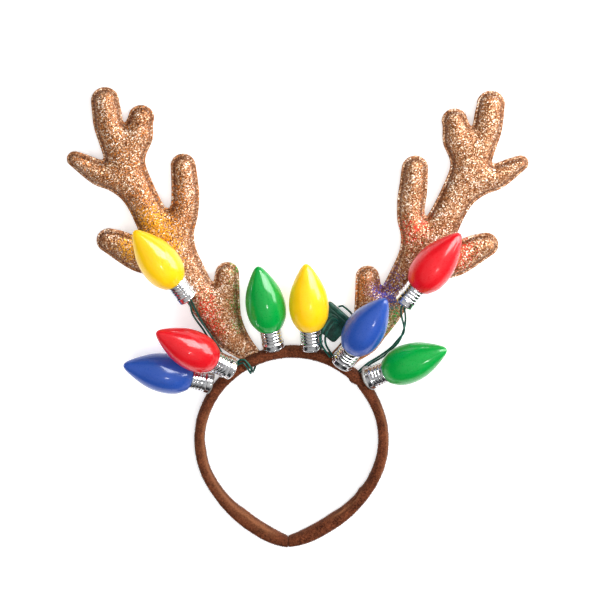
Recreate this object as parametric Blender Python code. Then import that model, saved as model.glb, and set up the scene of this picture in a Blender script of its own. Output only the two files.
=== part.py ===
"""Reindeer antler headband.

A plush covered band carries a pair of stuffed antlers, eight bulbs in chromed screw bases,
a small battery box and the thin twin wire that links them. It lies on its back: the band's back edge
is on the floor, the antlers point along +Y, and the front faces up, along +Z. Lengths are in metres.
"""
import functools
import math

import bmesh
import bpy
import numpy as np
from mathutils import Vector
from mathutils.geometry import delaunay_2d_cdt

# Headband
band_centre_x = -0.0042
band_centre_y = -0.0837
band_radius = 0.0653
band_thickness = 0.0070
band_width = 0.0150
band_end_gap = 0.0006
band_end_rounding = 0.0028
band_end_drift = -0.0023
band_drift_start_turn = 120.0
band_end_face_share = 0.4
section_squareness = 3.2

# Antlers
antler_height = 0.1820
antler_spread = 0.1200
antler_tine_radius = 0.0084
antler_puff = 0.0063
antler_flange_thickness = 0.0020
antler_flange_width = 0.0018
antler_puff_reach = 0.0120
antler_foot_taper = 0.0200
antler_mid_height = 0.0080
antler_lattice_pitch = 0.0050
antler_lattice_margin = 0.0063
antler_foot_pull = 0.45

# Bulbs
bulb_base_length = 0.0145
bulb_base_radius = 0.0078
bulb_glass_length = 0.0465
bulb_glass_radius = 0.0132

# Battery box
box_length = 0.0205
box_breadth = 0.0190
box_height = 0.0064
box_lid_share = 0.36
box_lid_overhang = 0.0006
box_corner_radius = 0.0022
box_centre_turn = 19.2
box_centre_reach = 0.0200
box_heading = 132.0

# Wires
wire_diameter = 0.0014

# Fits
seat_gap = 0.0003
seat_step = 0.0001

# The band's sections on one side, from the crown (turn 0) to the end, as shares of the band's sizes:
# turn in degrees, reach of the middle line, thickness, width
BAND_SECTIONS = (
    (0.0, 1.000, 1.00, 1.00),
    (60.0, 1.000, 1.00, 1.00),
    (90.0, 1.000, 0.97, 0.95),
    (111.0, 0.992, 0.98, 0.90),
    (131.0, 0.989, 1.02, 0.86),
    (143.0, 1.001, 1.18, 0.84),
    (157.0, 1.028, 1.32, 0.84),
    (170.0, 1.086, 1.28, 0.82),
    (179.8, 1.135, 0.98, 0.76),
)

# An antler's outline from the outer end of its foot, up the outer side and back down the inner side:
# outward (share of the spread), upward (share of the height), radius (share of the tine radius) and the
# arc's first and last angle in degrees. A row without a radius is one point.
ANTLER_OUTLINE = (
    (0.075, -0.002, 0.00, 0, 0),
    (0.161, 0.035, 0.00, 0, 0),
    (0.220, 0.086, 0.00, 0, 0),
    (0.292, 0.148, 0.00, 0, 0),
    (0.342, 0.200, 0.00, 0, 0),
    (0.403, 0.251, 0.00, 0, 0),
    (0.470, 0.284, 0.00, 0, 0),
    (0.548, 0.303, 0.00, 0, 0),
    (0.659, 0.328, 0.00, 0, 0),
    (0.773, 0.434, 0.98, -65, 100),
    (0.692, 0.469, 0.00, 0, 0),
    (0.625, 0.453, 0.00, 0, 0),
    (0.609, 0.466, 0.00, 0, 0),
    (0.625, 0.496, 0.00, 0, 0),
    (0.659, 0.545, 0.00, 0, 0),
    (0.703, 0.588, 0.00, 0, 0),
    (0.770, 0.620, 0.00, 0, 0),
    (0.864, 0.646, 0.00, 0, 0),
    (0.957, 0.736, 0.62, -45, 105),
    (0.892, 0.753, 0.00, 0, 0),
    (0.809, 0.733, 0.00, 0, 0),
    (0.800, 0.747, 0.00, 0, 0),
    (0.823, 0.796, 0.00, 0, 0),
    (0.850, 0.856, 0.00, 0, 0),
    (0.785, 0.948, 1.13, -12, 185),
    (0.696, 0.915, 0.00, 0, 0),
    (0.683, 0.869, 0.00, 0, 0),
    (0.588, 0.886, 1.05, 5, 205),
    (0.525, 0.807, 0.00, 0, 0),
    (0.561, 0.751, 0.00, 0, 0),
    (0.564, 0.713, 0.00, 0, 0),
    (0.525, 0.646, 0.00, 0, 0),
    (0.481, 0.584, 0.00, 0, 0),
    (0.448, 0.554, 0.00, 0, 0),
    (0.428, 0.571, 0.00, 0, 0),
    (0.425, 0.627, 0.00, 0, 0),
    (0.359, 0.710, 1.00, -15, 172),
    (0.276, 0.653, 0.00, 0, 0),
    (0.269, 0.597, 0.00, 0, 0),
    (0.279, 0.522, 0.00, 0, 0),
    (0.299, 0.466, 0.00, 0, 0),
    (0.292, 0.410, 0.00, 0, 0),
    (0.253, 0.348, 0.00, 0, 0),
    (0.201, 0.281, 0.00, 0, 0),
    (0.189, 0.301, 0.00, 0, 0),
    (0.118, 0.310, 0.96, 5, 190),
    (0.049, 0.241, 0.00, 0, 0),
    (0.046, 0.190, 0.00, 0, 0),
)

# Where each antler is sewn on: side (-1 left, 1 right), turn of its root, lift of the root,
# tilt outward in degrees, the turns of the foot's outer and inner end, and the stretch of its height
ANTLERS = {
    "antler_left": (-1, 26.0, 0.0000, 0.0, 30.5, 18.8, 1.000),
    "antler_right": (1, 33.5, 0.0015, 0.4, 38.6, 23.5, 1.006),
}

# Where one antler was cut and sewn a little off the shared outline: row of the outline, counted from
# nought, then what is added to its outward, upward and radius shares
ANTLER_NUDGES = {
    "antler_left": {},
    "antler_right": {
        33: (-0.008, -0.016, 0.00),
        34: (0.002, -0.010, 0.00),
        35: (0.018, 0.000, 0.00),
        36: (0.015, 0.002, 0.06),
        37: (0.012, 0.000, 0.00),
        38: (0.008, 0.000, 0.00),
    },
}

# Glass and base profiles: along the axis from the lower end, and radius, as shares of the piece's sizes
GLASS_PROFILE = (
    (0.000, 0.62),
    (0.065, 0.77),
    (0.165, 0.93),
    (0.300, 1.00),
    (0.440, 0.98),
    (0.580, 0.88),
    (0.720, 0.69),
    (0.860, 0.44),
    (0.965, 0.20),
)
BASE_PROFILE = (
    (0.00, 0.96),
    (0.05, 1.00),
    (0.34, 1.00),
    (0.38, 0.93),
    (0.47, 0.99),
    (0.53, 0.93),
    (0.62, 0.99),
    (0.68, 0.93),
    (0.77, 0.99),
    (0.84, 0.93),
    (1.00, 0.93),
)

# Bulbs on the band: colour, turn, height of the foot's centre as a share of the band's width,
# heading from +Y in degrees, lean off the floor in degrees, and what the bulb lies over
BAND_BULBS = {
    "blue_left": ("blue", -52.7, 0.62, -75.0, 15.2, ()),
    "red_left": ("red", -37.6, 0.80, -58.5, 20.7, ("antler_left", "blue_left")),
    "green_centre": ("green", -10.1, 0.62, -10.4, 15.1, ()),
    "yellow_centre": ("yellow", 11.7, 0.78, -3.8, 12.5, ("box",)),
    "blue_right": ("blue", 30.8, 1.00, 30.6, 22.4, ("antler_right", "box")),
    "green_right": ("green", 49.7, 0.66, 63.5, 21.8, ("antler_right",)),
}

# Bulbs on the antlers: colour, antler, outward and upward share of the foot's centre, heading and lean
ANTLER_BULBS = {
    "yellow_left": ("yellow", "antler_left", 0.336, 0.238, -35.4, 15.8),
    "red_right": ("red", "antler_right", 0.320, 0.235, 36.7, 8.9),
}

# The wires' routes, as points that each smooth curve passes through. The wires are thin and stiff enough
# to stand in loops, and every end is tucked into the plush, a bulb's foot, an antler or the box.
WIRE_ROUTES = {
    "wire_left_outer": (
        (-0.0737, 0.0176, 0.0219),
        (-0.0724, 0.0157, 0.0212),
        (-0.0712, 0.0110, 0.0165),
        (-0.0706, 0.0061, 0.0120),
        (-0.0682, 0.0010, 0.0104),
        (-0.0639, -0.0053, 0.0094),
        (-0.0588, -0.0140, 0.0080),
        (-0.0545, -0.0223, 0.0066),
        (-0.0497, -0.0297, 0.0058),
        (-0.0480, -0.0345, 0.0050),
    ),
    "wire_left_inner": (
        (-0.0723, 0.0187, 0.0219),
        (-0.0711, 0.0168, 0.0212),
        (-0.0696, 0.0124, 0.0172),
        (-0.0676, 0.0072, 0.0136),
        (-0.0639, -0.0006, 0.0118),
        (-0.0599, -0.0071, 0.0114),
        (-0.0550, -0.0145, 0.0112),
        (-0.0514, -0.0213, 0.0092),
        (-0.0484, -0.0279, 0.0074),
        (-0.0468, -0.0326, 0.0070),
    ),
    "wire_right_inner": (
        (0.0703, 0.0146, 0.0245),
        (0.0686, 0.0123, 0.0240),
        (0.0685, 0.0087, 0.0210),
        (0.0692, 0.0032, 0.0160),
        (0.0709, -0.0038, 0.0124),
        (0.0706, -0.0083, 0.0114),
        (0.0672, -0.0126, 0.0106),
        (0.0627, -0.0182, 0.0098),
        (0.0551, -0.0245, 0.0084),
        (0.0470, -0.0298, 0.0074),
        (0.0406, -0.0356, 0.0068),
    ),
    "wire_right_outer": (
        (0.0719, 0.0133, 0.0245),
        (0.0706, 0.0109, 0.0238),
        (0.0714, 0.0064, 0.0190),
        (0.0717, -0.0003, 0.0123),
        (0.0709, -0.0059, 0.0089),
        (0.0685, -0.0131, 0.0078),
        (0.0655, -0.0177, 0.0070),
        (0.0572, -0.0256, 0.0056),
        (0.0485, -0.0311, 0.0049),
        (0.0419, -0.0369, 0.0047),
    ),
    "wire_foot_loop_upper": (
        (-0.0402, -0.0276, 0.0153),
        (-0.0385, -0.0254, 0.0166),
        (-0.0362, -0.0250, 0.0168),
        (-0.0343, -0.0265, 0.0168),
        (-0.0324, -0.0290, 0.0168),
        (-0.0311, -0.0312, 0.0166),
        (-0.0304, -0.0332, 0.0157),
        (-0.0300, -0.0345, 0.0136),
        (-0.0296, -0.0343, 0.0112),
        (-0.0289, -0.0330, 0.0094),
        (-0.0284, -0.0318, 0.0082),
    ),
    "wire_foot_loop_lower": (
        (-0.0413, -0.0301, 0.0156),
        (-0.0389, -0.0280, 0.0167),
        (-0.0365, -0.0274, 0.0167),
        (-0.0348, -0.0294, 0.0166),
        (-0.0331, -0.0321, 0.0163),
        (-0.0320, -0.0341, 0.0154),
        (-0.0315, -0.0355, 0.0136),
        (-0.0315, -0.0356, 0.0114),
        (-0.0312, -0.0345, 0.0092),
        (-0.0306, -0.0329, 0.0076),
    ),
    "wire_box_back": (
        (0.0272, 0.0078, 0.0024),
        (0.0286, 0.0089, 0.0026),
        (0.0311, 0.0077, 0.0034),
        (0.0345, 0.0051, 0.0046),
        (0.0370, 0.0024, 0.0056),
    ),
    "wire_box_loop_outer": (
        (0.0268, -0.0020, 0.0068),
        (0.0267, -0.0015, 0.0084),
        (0.0254, 0.0010, 0.0109),
        (0.0225, 0.0020, 0.0140),
        (0.0190, -0.0008, 0.0202),
        (0.0163, -0.0052, 0.0219),
        (0.0149, -0.0096, 0.0220),
        (0.0156, -0.0139, 0.0204),
        (0.0176, -0.0180, 0.0178),
        (0.0198, -0.0212, 0.0162),
        (0.0216, -0.0240, 0.0153),
    ),
    "wire_box_loop_inner": (
        (0.0285, -0.0040, 0.0068),
        (0.0284, -0.0035, 0.0084),
        (0.0270, -0.0012, 0.0112),
        (0.0241, -0.0008, 0.0138),
        (0.0209, -0.0038, 0.0168),
        (0.0187, -0.0079, 0.0184),
        (0.0181, -0.0116, 0.0184),
        (0.0191, -0.0160, 0.0170),
        (0.0214, -0.0201, 0.0150),
        (0.0234, -0.0235, 0.0140),
    ),
}

COLOURS = {
    "plush": ((0.115, 0.036, 0.017, 1.0), 0.95, 0.0),
    "glitter": ((0.52, 0.29, 0.17, 1.0), 0.45, 0.5),
    "blue": ((0.02, 0.07, 0.38, 1.0), 0.15, 0.0),
    "red": ((0.78, 0.01, 0.02, 1.0), 0.15, 0.0),
    "green": ((0.0, 0.35, 0.05, 1.0), 0.15, 0.0),
    "yellow": ((1.0, 0.60, 0.01, 1.0), 0.15, 0.0),
    "chrome": ((0.85, 0.86, 0.87, 1.0), 0.12, 1.0),
    "box_plastic": ((0.004, 0.05, 0.035, 1.0), 0.35, 0.0),
    "wire": ((0.004, 0.08, 0.06, 1.0), 0.4, 0.0),
}


def clear_scene():
    """Remove what the scene holds."""
    for item in list(bpy.data.objects):
        bpy.data.objects.remove(item, do_unlink=True)


def material(name):
    """One Principled material in the named colour."""
    colour, roughness, metallic = COLOURS[name]
    made = bpy.data.materials.get(name) or bpy.data.materials.new(name)
    made.use_nodes = True
    shader = made.node_tree.nodes["Principled BSDF"]
    shader.inputs["Base Color"].default_value = colour
    shader.inputs["Roughness"].default_value = roughness
    shader.inputs["Metallic"].default_value = metallic
    return made


def add_object(name, data, material_name, parent=None):
    """Link a mesh or curve as a named object with its own material."""
    made = bpy.data.objects.new(name, data)
    bpy.context.scene.collection.objects.link(made)
    data.materials.append(material(material_name))
    made.parent = parent
    return made


def solid_mesh(name, vertices, faces, sharp_degrees=40.0):
    """A closed mesh with its faces pointing out, shaded smooth but for its sharp edges."""
    mesh = bpy.data.meshes.new(name)
    mesh.from_pydata([tuple(point) for point in vertices], [], [tuple(face) for face in faces])
    shape = bmesh.new()
    shape.from_mesh(mesh)
    bmesh.ops.recalc_face_normals(shape, faces=shape.faces)
    shape.to_mesh(mesh)
    shape.free()
    mesh.shade_smooth()
    mesh.set_sharp_from_angle(angle=math.radians(sharp_degrees))
    return mesh


def read_table(table, column, place):
    """Read a column of a table at any place on a smooth curve through its rows."""
    knots = np.array([row[0] for row in table])
    values = np.array([row[column] for row in table])
    slopes = np.gradient(values, knots)
    place = np.clip(np.asarray(place, float), knots[0], knots[-1])
    index = np.clip(np.searchsorted(knots, place, side="right") - 1, 0, len(knots) - 2)
    step = knots[index + 1] - knots[index]
    t = (place - knots[index]) / step
    return (
        (2 * t**3 - 3 * t**2 + 1) * values[index]
        + (t**3 - 2 * t**2 + t) * step * slopes[index]
        + (3 * t**2 - 2 * t**3) * values[index + 1]
        + (t**3 - t**2) * step * slopes[index + 1]
    )


# Headband

def band_mid_radius(turn):
    """Reach of the band's middle line from its centre, at a turn in degrees."""
    return (band_radius - band_thickness / 2) * read_table(BAND_SECTIONS, 1, np.abs(turn))


def band_section(turn):
    """Middle radius, half thickness along the radius, and width of the band at a turn."""
    middle = band_mid_radius(turn)
    slope = band_mid_radius(np.abs(turn) + 0.5) - band_mid_radius(np.abs(turn) - 0.5)
    slope = slope / math.radians(1.0)
    stretch = np.sqrt(1 + (slope / middle) ** 2)
    thickness = band_thickness * read_table(BAND_SECTIONS, 2, np.abs(turn)) * stretch
    width = band_width * read_table(BAND_SECTIONS, 3, np.abs(turn))
    return middle, thickness / 2, width


def rounding(share):
    """Half thickness left at a share (-1 to 1) of the half width, on a squarish oval."""
    share = np.clip(np.abs(share), 0.0, 1.0)
    return (1 - share**section_squareness) ** (1 / section_squareness)


def band_outer_radius(turn, height):
    """Reach of the band's outer surface at a turn and a height off the floor."""
    middle, half, width = band_section(turn)
    return middle + half * rounding(2 * np.asarray(height) / width - 1)


def band_place(turn, radius):
    """Plan position at a turn and a reach. Both ends of the band drift to one side."""
    angle = np.radians(turn)
    beyond = (np.abs(turn) - band_drift_start_turn) / (180.0 - band_drift_start_turn)
    drift = band_end_drift * np.clip(beyond, 0.0, 1.0) ** 2
    return band_centre_x + radius * np.sin(angle) + drift, band_centre_y + radius * np.cos(angle)


def make_headband():
    """Squarish oval sections carried round from one end to the other, with rounded ends."""
    end_turn = 180.0 - math.degrees(band_end_gap / 2 / band_mid_radius(180.0))
    end_length = math.radians(1.0) * band_mid_radius(180.0)
    cap_turn = band_end_rounding / end_length
    cap_turns = end_turn - cap_turn * np.array([0.65, 0.3, 0.1, 0.0])
    side_turns = np.concatenate([np.linspace(0.0, end_turn - cap_turn, 27)[1:], cap_turns])
    turns = np.concatenate([-side_turns[::-1], [0.0], side_turns])
    sides = 14
    angles = (np.arange(sides) + 0.5) * 2 * math.pi / sides
    power = 2 / section_squareness
    across = np.sign(np.cos(angles)) * np.abs(np.cos(angles)) ** power
    upward = np.sign(np.sin(angles)) * np.abs(np.sin(angles)) ** power
    across, upward = across / np.abs(across).max(), upward / np.abs(upward).max()
    middle, half, width = band_section(turns)
    left_over = np.clip((end_turn - np.abs(turns)) / cap_turn, 0.0, 1.0)
    cap = np.sqrt(1 - (1 - left_over) ** 2) * (1 - band_end_face_share) + band_end_face_share
    radius = middle[:, None] + (half * cap)[:, None] * across
    height = (width / 2)[:, None] * (1 + cap[:, None] * upward)
    x, y = band_place(turns[:, None], radius)
    vertices = np.stack([x, y, height], axis=-1).reshape(-1, 3)
    faces = []
    for ring in range(len(turns) - 1):
        for side in range(sides):
            following = (side + 1) % sides
            low, high = ring * sides, (ring + 1) * sides
            faces.append((low + side, low + following, high + following, high + side))
    faces.append(range(sides))
    faces.append(range((len(turns) - 1) * sides, len(turns) * sides))
    add_object("headband", solid_mesh("headband", vertices, faces), "plush")


# Antlers

def antler_root(name):
    """Side, root and outline frame of an antler: outward and upward unit vectors in plan."""
    side, turn, lift, tilt, _, _, _ = ANTLERS[name]
    x, y = band_place(side * turn, band_radius)
    lean = math.radians(tilt)
    outward = np.array([side * math.cos(lean), -math.sin(lean)])
    upward = np.array([side * math.sin(lean), math.cos(lean)])
    return np.array([x, y + lift]), outward, upward


def antler_place(name, out_share, up_share):
    """Plan position of a point given as shares of the antler's spread and height."""
    root, outward, upward = antler_root(name)
    height = antler_height * ANTLERS[name][-1]
    return root + outward * antler_spread * out_share + upward * height * up_share


@functools.lru_cache(maxsize=None)
def antler_outline(name):
    """The antler's outline in plan: the table's points and arcs, then the foot along the band."""
    side, _, _, _, outer_turn, inner_turn, _ = ANTLERS[name]
    _, outward, upward = antler_root(name)
    points = []
    for row, (out_share, up_share, radius_share, first, last) in enumerate(ANTLER_OUTLINE):
        more_out, more_up, more_radius = ANTLER_NUDGES[name].get(row, (0.0, 0.0, 0.0))
        centre = antler_place(name, out_share + more_out, up_share + more_up)
        if radius_share == 0.0:
            points.append(centre)
            continue
        for angle in np.radians(np.linspace(first, last, 8)):
            reach = antler_tine_radius * (radius_share + more_radius)
            points.append(centre + reach * (outward * math.cos(angle) + upward * math.sin(angle)))
    foot_turns = side * np.linspace(inner_turn, outer_turn, 5)
    foot = np.stack(band_place(foot_turns, band_radius + seat_gap), axis=-1)
    start = points[-1]
    control = start + upward * antler_foot_pull * ((foot[0] - start) @ upward)
    for t in np.arange(1, 6) / 6:
        points.append(start * (1 - t) ** 2 + control * 2 * t * (1 - t) + foot[0] * t**2)
    outline = np.array(points + list(foot))
    return outline if side < 0 else outline[::-1]


def edge_distance(points, outline):
    """Distance from plan points to the nearest edge of an outline."""
    start, end = outline, np.roll(outline, -1, axis=0)
    run = end - start
    offset = points[:, None, :] - start
    t = np.clip((offset * run).sum(-1) / (run**2).sum(-1), 0.0, 1.0)
    return np.linalg.norm(offset - t[..., None] * run, axis=-1).min(axis=1)


def inside_outline(points, outline):
    """True for the plan points inside an outline, by counting the edges to their right."""
    start, end = outline, np.roll(outline, -1, axis=0)
    x, y = points[:, 0][:, None], points[:, 1][:, None]
    spans = (start[:, 1] > y) != (end[:, 1] > y)
    rise = np.where(np.abs(end[:, 1] - start[:, 1]) < 1e-12, 1e-12, end[:, 1] - start[:, 1])
    crossing = start[:, 0] + (y - start[:, 1]) / rise * (end[:, 0] - start[:, 0])
    return (spans & (x < crossing)).sum(axis=1) % 2 == 1


def antler_half_thickness(points, distance):
    """Half thickness at plan points: a flat flange, then a quarter round, thinner towards the foot."""
    share = np.clip((distance - antler_flange_width) / antler_puff_reach, 0.0, 1.0)
    round_share = np.sqrt(1 - (1 - share) ** 2)
    reach = np.hypot(points[:, 0] - band_centre_x, points[:, 1] - band_centre_y)
    foot = np.clip((reach - band_radius) / antler_foot_taper, 0.0, 1.0)
    return antler_flange_thickness / 2 + antler_puff * round_share * foot**2 * (3 - 2 * foot)


def inset_points(outline, depth, every):
    """Points at a depth inside the outline that no other stretch of the edge comes nearer to."""
    before, after = np.roll(outline, 1, axis=0), np.roll(outline, -1, axis=0)
    along = (after - before) / np.linalg.norm(after - before, axis=1)[:, None]
    inner = outline + depth * np.stack([-along[:, 1], along[:, 0]], axis=-1)
    inner = inner[::every]
    keep = inside_outline(inner, outline) & (edge_distance(inner, outline) > 0.93 * depth)
    return inner[keep]


def lattice_points(outline, margin, pitch):
    """A staggered lattice of points more than a margin inside the outline."""
    low, high = outline.min(axis=0), outline.max(axis=0)
    rows = np.arange(low[1], high[1], pitch * math.sqrt(3) / 2)
    columns = np.arange(low[0], high[0] + pitch, pitch)
    x, y = np.meshgrid(columns, rows)
    x = x + np.where(np.arange(len(rows)) % 2, pitch / 2, 0.0)[:, None]
    points = np.stack([x.ravel(), y.ravel()], axis=-1)
    keep = inside_outline(points, outline) & (edge_distance(points, outline) > margin)
    return points[keep]


def make_antler(name):
    """A stuffed antler: the outline filled with triangles, front and back, puffed from its flange."""
    outline = antler_outline(name)
    middle_depth = (antler_flange_width + antler_lattice_margin) / 2
    inner = [inset_points(outline, antler_flange_width, 1), inset_points(outline, middle_depth, 2)]
    inner.append(lattice_points(outline, antler_lattice_margin, antler_lattice_pitch))
    points = np.concatenate([outline] + inner)
    count = len(outline)
    edges = [(index, (index + 1) % count) for index in range(count)]
    flat, _, triangles, _, _, _ = delaunay_2d_cdt([Vector(point) for point in points], edges, [], 1, 1e-7)
    flat = np.array([tuple(point) for point in flat])
    half = antler_half_thickness(flat, edge_distance(flat, outline))
    front = np.column_stack([flat, antler_mid_height + half])
    back = np.column_stack([flat, np.maximum(antler_mid_height - half, 0.0)])
    size = len(flat)
    faces = [tuple(face) for face in triangles]
    faces += [tuple(size + index for index in reversed(face)) for face in triangles]
    faces += [(start, end, size + end, size + start) for start, end in edges]
    mesh = solid_mesh(name, np.concatenate([front, back]), faces)
    add_object(name, mesh, "glitter")


# Battery box

@functools.lru_cache(maxsize=None)
def box_frame():
    """Plan centre of the box and the unit vectors along its length and its breadth.

    The box is pushed along its length, in under the antler's flange, until it meets the stuffing.
    """
    angle = math.radians(box_heading)
    along = np.array([math.sin(angle), math.cos(angle)])
    across = np.array([-along[1], along[0]])
    centre = np.array(band_place(box_centre_turn, band_radius + box_centre_reach))
    edge = np.linspace(-box_breadth / 2, box_breadth / 2, 20)
    edge, height = np.meshgrid(edge, np.linspace(box_top() - box_height, box_top(), 5))
    for _ in range(200):
        end = centre + along * (box_length / 2 + box_lid_overhang) + edge.reshape(-1, 1) * across
        if not in_antler(np.column_stack([end, height.ravel()]), "antler_right", 2 * seat_gap).any():
            return centre, along, across
        centre = centre - seat_step * along
    raise ValueError("the box finds no clear place")


def rounded_plate(name, length, breadth, low, high):
    """An upright plate with rounded corners, at the box's place."""
    centre, along, across = box_frame()
    radius = box_corner_radius
    outline = []
    for quarter in range(4):
        corner_x = (length / 2 - radius) * (1 if quarter in (0, 3) else -1)
        corner_y = (breadth / 2 - radius) * (1 if quarter in (0, 1) else -1)
        for angle in np.radians(90 * quarter + np.linspace(0, 90, 4)):
            local_x, local_y = corner_x + radius * math.cos(angle), corner_y + radius * math.sin(angle)
            outline.append(centre + along * local_x + across * local_y)
    count = len(outline)
    vertices = [(*point, low) for point in outline] + [(*point, high) for point in outline]
    faces = [range(count), range(count, 2 * count)]
    faces += [(i, (i + 1) % count, count + (i + 1) % count, count + i) for i in range(count)]
    add_object(name, solid_mesh(name, vertices, faces), "box_plastic")


def box_top():
    """Height of the lid's front face: the box lies under the antler's flange."""
    return antler_mid_height - antler_flange_thickness / 2 - 2 * seat_gap


def make_box():
    """Body and lid of the battery box, parted by a seam."""
    top = box_top()
    seam = top - box_height * box_lid_share
    lip = 2 * box_lid_overhang
    bottom = top - box_height
    rounded_plate("box_body", box_length, box_breadth, bottom, seam - seat_gap)
    rounded_plate("box_lid", box_length + lip, box_breadth + lip, seam, top)


# Bulbs

def base_profile():
    """The base's outline from its foot: distance along the axis and radius."""
    return np.array(BASE_PROFILE) * (bulb_base_length, bulb_base_radius)


def glass_profile():
    """The glass's outline from its lower end to its tip: distance along the axis and radius."""
    return np.array(GLASS_PROFILE + ((1.0, 0.0),)) * (bulb_glass_length, bulb_glass_radius)


@functools.lru_cache(maxsize=None)
def bulb_profile():
    """The whole bulb's outline from its foot to its tip: distance along the axis and radius."""
    start = bulb_base_length + seat_gap
    return np.concatenate([base_profile(), glass_profile() + (start, 0.0)])


def bulb_axis(heading, lean):
    """Unit vector from a bulb's foot to its tip."""
    turn, rise = math.radians(heading), math.radians(lean)
    return np.array([math.sin(turn) * math.cos(rise), math.cos(turn) * math.cos(rise), math.sin(rise)])


def bulb_points(foot, axis):
    """Points all over a bulb's surface and its foot."""
    side = np.cross(axis, (0.0, 0.0, 1.0))
    side = side / np.linalg.norm(side)
    up = np.cross(side, axis)
    angles = np.linspace(0, 2 * math.pi, 24, endpoint=False)
    ring = np.cos(angles)[:, None] * side + np.sin(angles)[:, None] * up
    along = np.linspace(0.0, bulb_profile()[-1, 0], 60)
    radius = np.interp(along, bulb_profile()[:, 0], bulb_profile()[:, 1])
    body = foot + along[:, None, None] * axis + radius[:, None, None] * ring
    disc = foot + (bulb_base_radius * np.array([0.3, 0.55, 0.8]))[:, None, None] * ring
    return np.concatenate([disc, body]).reshape(-1, 3)


def in_band(points, clearance):
    """True where a point lies in the band's upper half or nearer to it than the clearance."""
    x, y = points[:, 0] - band_centre_x, points[:, 1] - band_centre_y
    turn, reach = np.degrees(np.arctan2(x, y)), np.hypot(x, y)
    width = band_section(turn)[2]
    beside = reach < band_outer_radius(turn, np.minimum(points[:, 2], width)) + clearance
    return beside & (reach > band_radius - band_thickness) & (points[:, 2] < width + clearance)


def in_antler(points, name, clearance):
    """True where a point lies in an antler or nearer to its front or back than the clearance."""
    outline = antler_outline(name)
    distance = edge_distance(points[:, :2], outline)
    inside = inside_outline(points[:, :2], outline)
    depth = np.where(inside, distance + clearance, clearance - distance)
    half = antler_half_thickness(points[:, :2], np.maximum(depth, 0.0))
    return (depth > 0) & (np.abs(points[:, 2] - antler_mid_height) < half + clearance)


def in_box(points, clearance):
    """True where a point lies in the battery box or nearer to it than the clearance."""
    centre, along, across = box_frame()
    offset = points[:, :2] - centre
    reach = clearance + box_lid_overhang
    beside = np.abs(offset @ along) < box_length / 2 + reach
    beside &= np.abs(offset @ across) < box_breadth / 2 + reach
    return beside & (points[:, 2] < box_top() + clearance)


def in_bulb(points, foot, axis, clearance):
    """True where a point lies in another bulb or nearer to it than the clearance."""
    offset = points - foot
    along = offset @ axis
    reach = np.linalg.norm(offset - along[:, None] * axis, axis=1)
    profile = bulb_profile()
    radius = np.interp(along, profile[:, 0], profile[:, 1], left=-1.0, right=-1.0)
    return reach < radius + clearance


def lifted_clear(foot, axis, over, seats):
    """Raise a bulb, step by step, until it clears everything that it lies over."""
    clearance = 2 * seat_gap
    lifted = np.array(foot)
    for _ in range(400):
        points = bulb_points(lifted, axis)
        touching = False
        for name in over:
            if name in ANTLERS:
                touching |= in_antler(points, name, clearance).any()
            elif name == "box":
                touching |= in_box(points, clearance).any()
            else:
                touching |= in_bulb(points, *seats[name], clearance).any()
        if not touching:
            return lifted
        lifted[2] += seat_step
    raise ValueError("a bulb finds no clear height")


def band_bulb_seat(turn, height_share, heading, lean, over, seats):
    """Foot and axis of a bulb on the band, pushed out until it just clears the band's outer surface."""
    axis = bulb_axis(heading, lean)
    reach = band_radius
    height = band_width * height_share
    for _ in range(200):
        foot = lifted_clear(np.array([*band_place(turn, reach), height]), axis, over, seats)
        if not in_band(bulb_points(foot, axis), seat_gap).any():
            return foot, axis
        reach += seat_step
    raise ValueError("a bulb finds no clear seat on the band")


def bulb_seats():
    """Foot and axis of every bulb, each seated on what carries it."""
    seats = {}
    for name, (_, turn, height_share, heading, lean, over) in BAND_BULBS.items():
        seats[name] = band_bulb_seat(turn, height_share, heading, lean, over, seats)
    for name, (_, antler, out_share, up_share, heading, lean) in ANTLER_BULBS.items():
        foot = np.array([*antler_place(antler, out_share, up_share), antler_mid_height + bulb_base_radius])
        axis = bulb_axis(heading, lean)
        seats[name] = (lifted_clear(foot, axis, (antler,), seats), axis)
    return seats


def turned_mesh(name, profile, sides):
    """A solid turned about +Z through a profile of distances along the axis and radii."""
    angles = np.arange(sides) * 2 * math.pi / sides
    rings = [row for row in profile if row[1] > 0]
    vertices = []
    for along, radius in rings:
        vertices += [(radius * math.cos(angle), radius * math.sin(angle), along) for angle in angles]
    first, last = len(vertices), len(vertices) + 1
    vertices += [(0.0, 0.0, profile[0][0]), (0.0, 0.0, profile[-1][0])]
    faces = []
    for side in range(sides):
        following = (side + 1) % sides
        for ring in range(len(rings) - 1):
            low, high = ring * sides, (ring + 1) * sides
            faces.append((low + side, low + following, high + following, high + side))
        faces.append((first, following, side))
        top = (len(rings) - 1) * sides
        faces.append((last, top + side, top + following))
    return solid_mesh(name, vertices, faces, 30.0)


def make_bulbs():
    """Each bulb is a glass on a base, both held by an empty at the bulb's foot."""
    sides = 14
    seats = bulb_seats()
    colours = {name: row[0] for name, row in {**BAND_BULBS, **ANTLER_BULBS}.items()}
    for name, (foot, axis) in seats.items():
        holder = bpy.data.objects.new("bulb_" + name, None)
        bpy.context.scene.collection.objects.link(holder)
        holder.location = foot
        holder.rotation_mode = "QUATERNION"
        holder.rotation_quaternion = Vector(axis).to_track_quat("Z", "Y")
        add_object("base_" + name, turned_mesh("base_" + name, base_profile(), sides), "chrome", holder)
        mesh = turned_mesh("glass_" + name, glass_profile(), sides)
        glass = add_object("glass_" + name, mesh, colours[name], holder)
        glass.location = (0.0, 0.0, bulb_base_length + seat_gap)


# Wires

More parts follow.
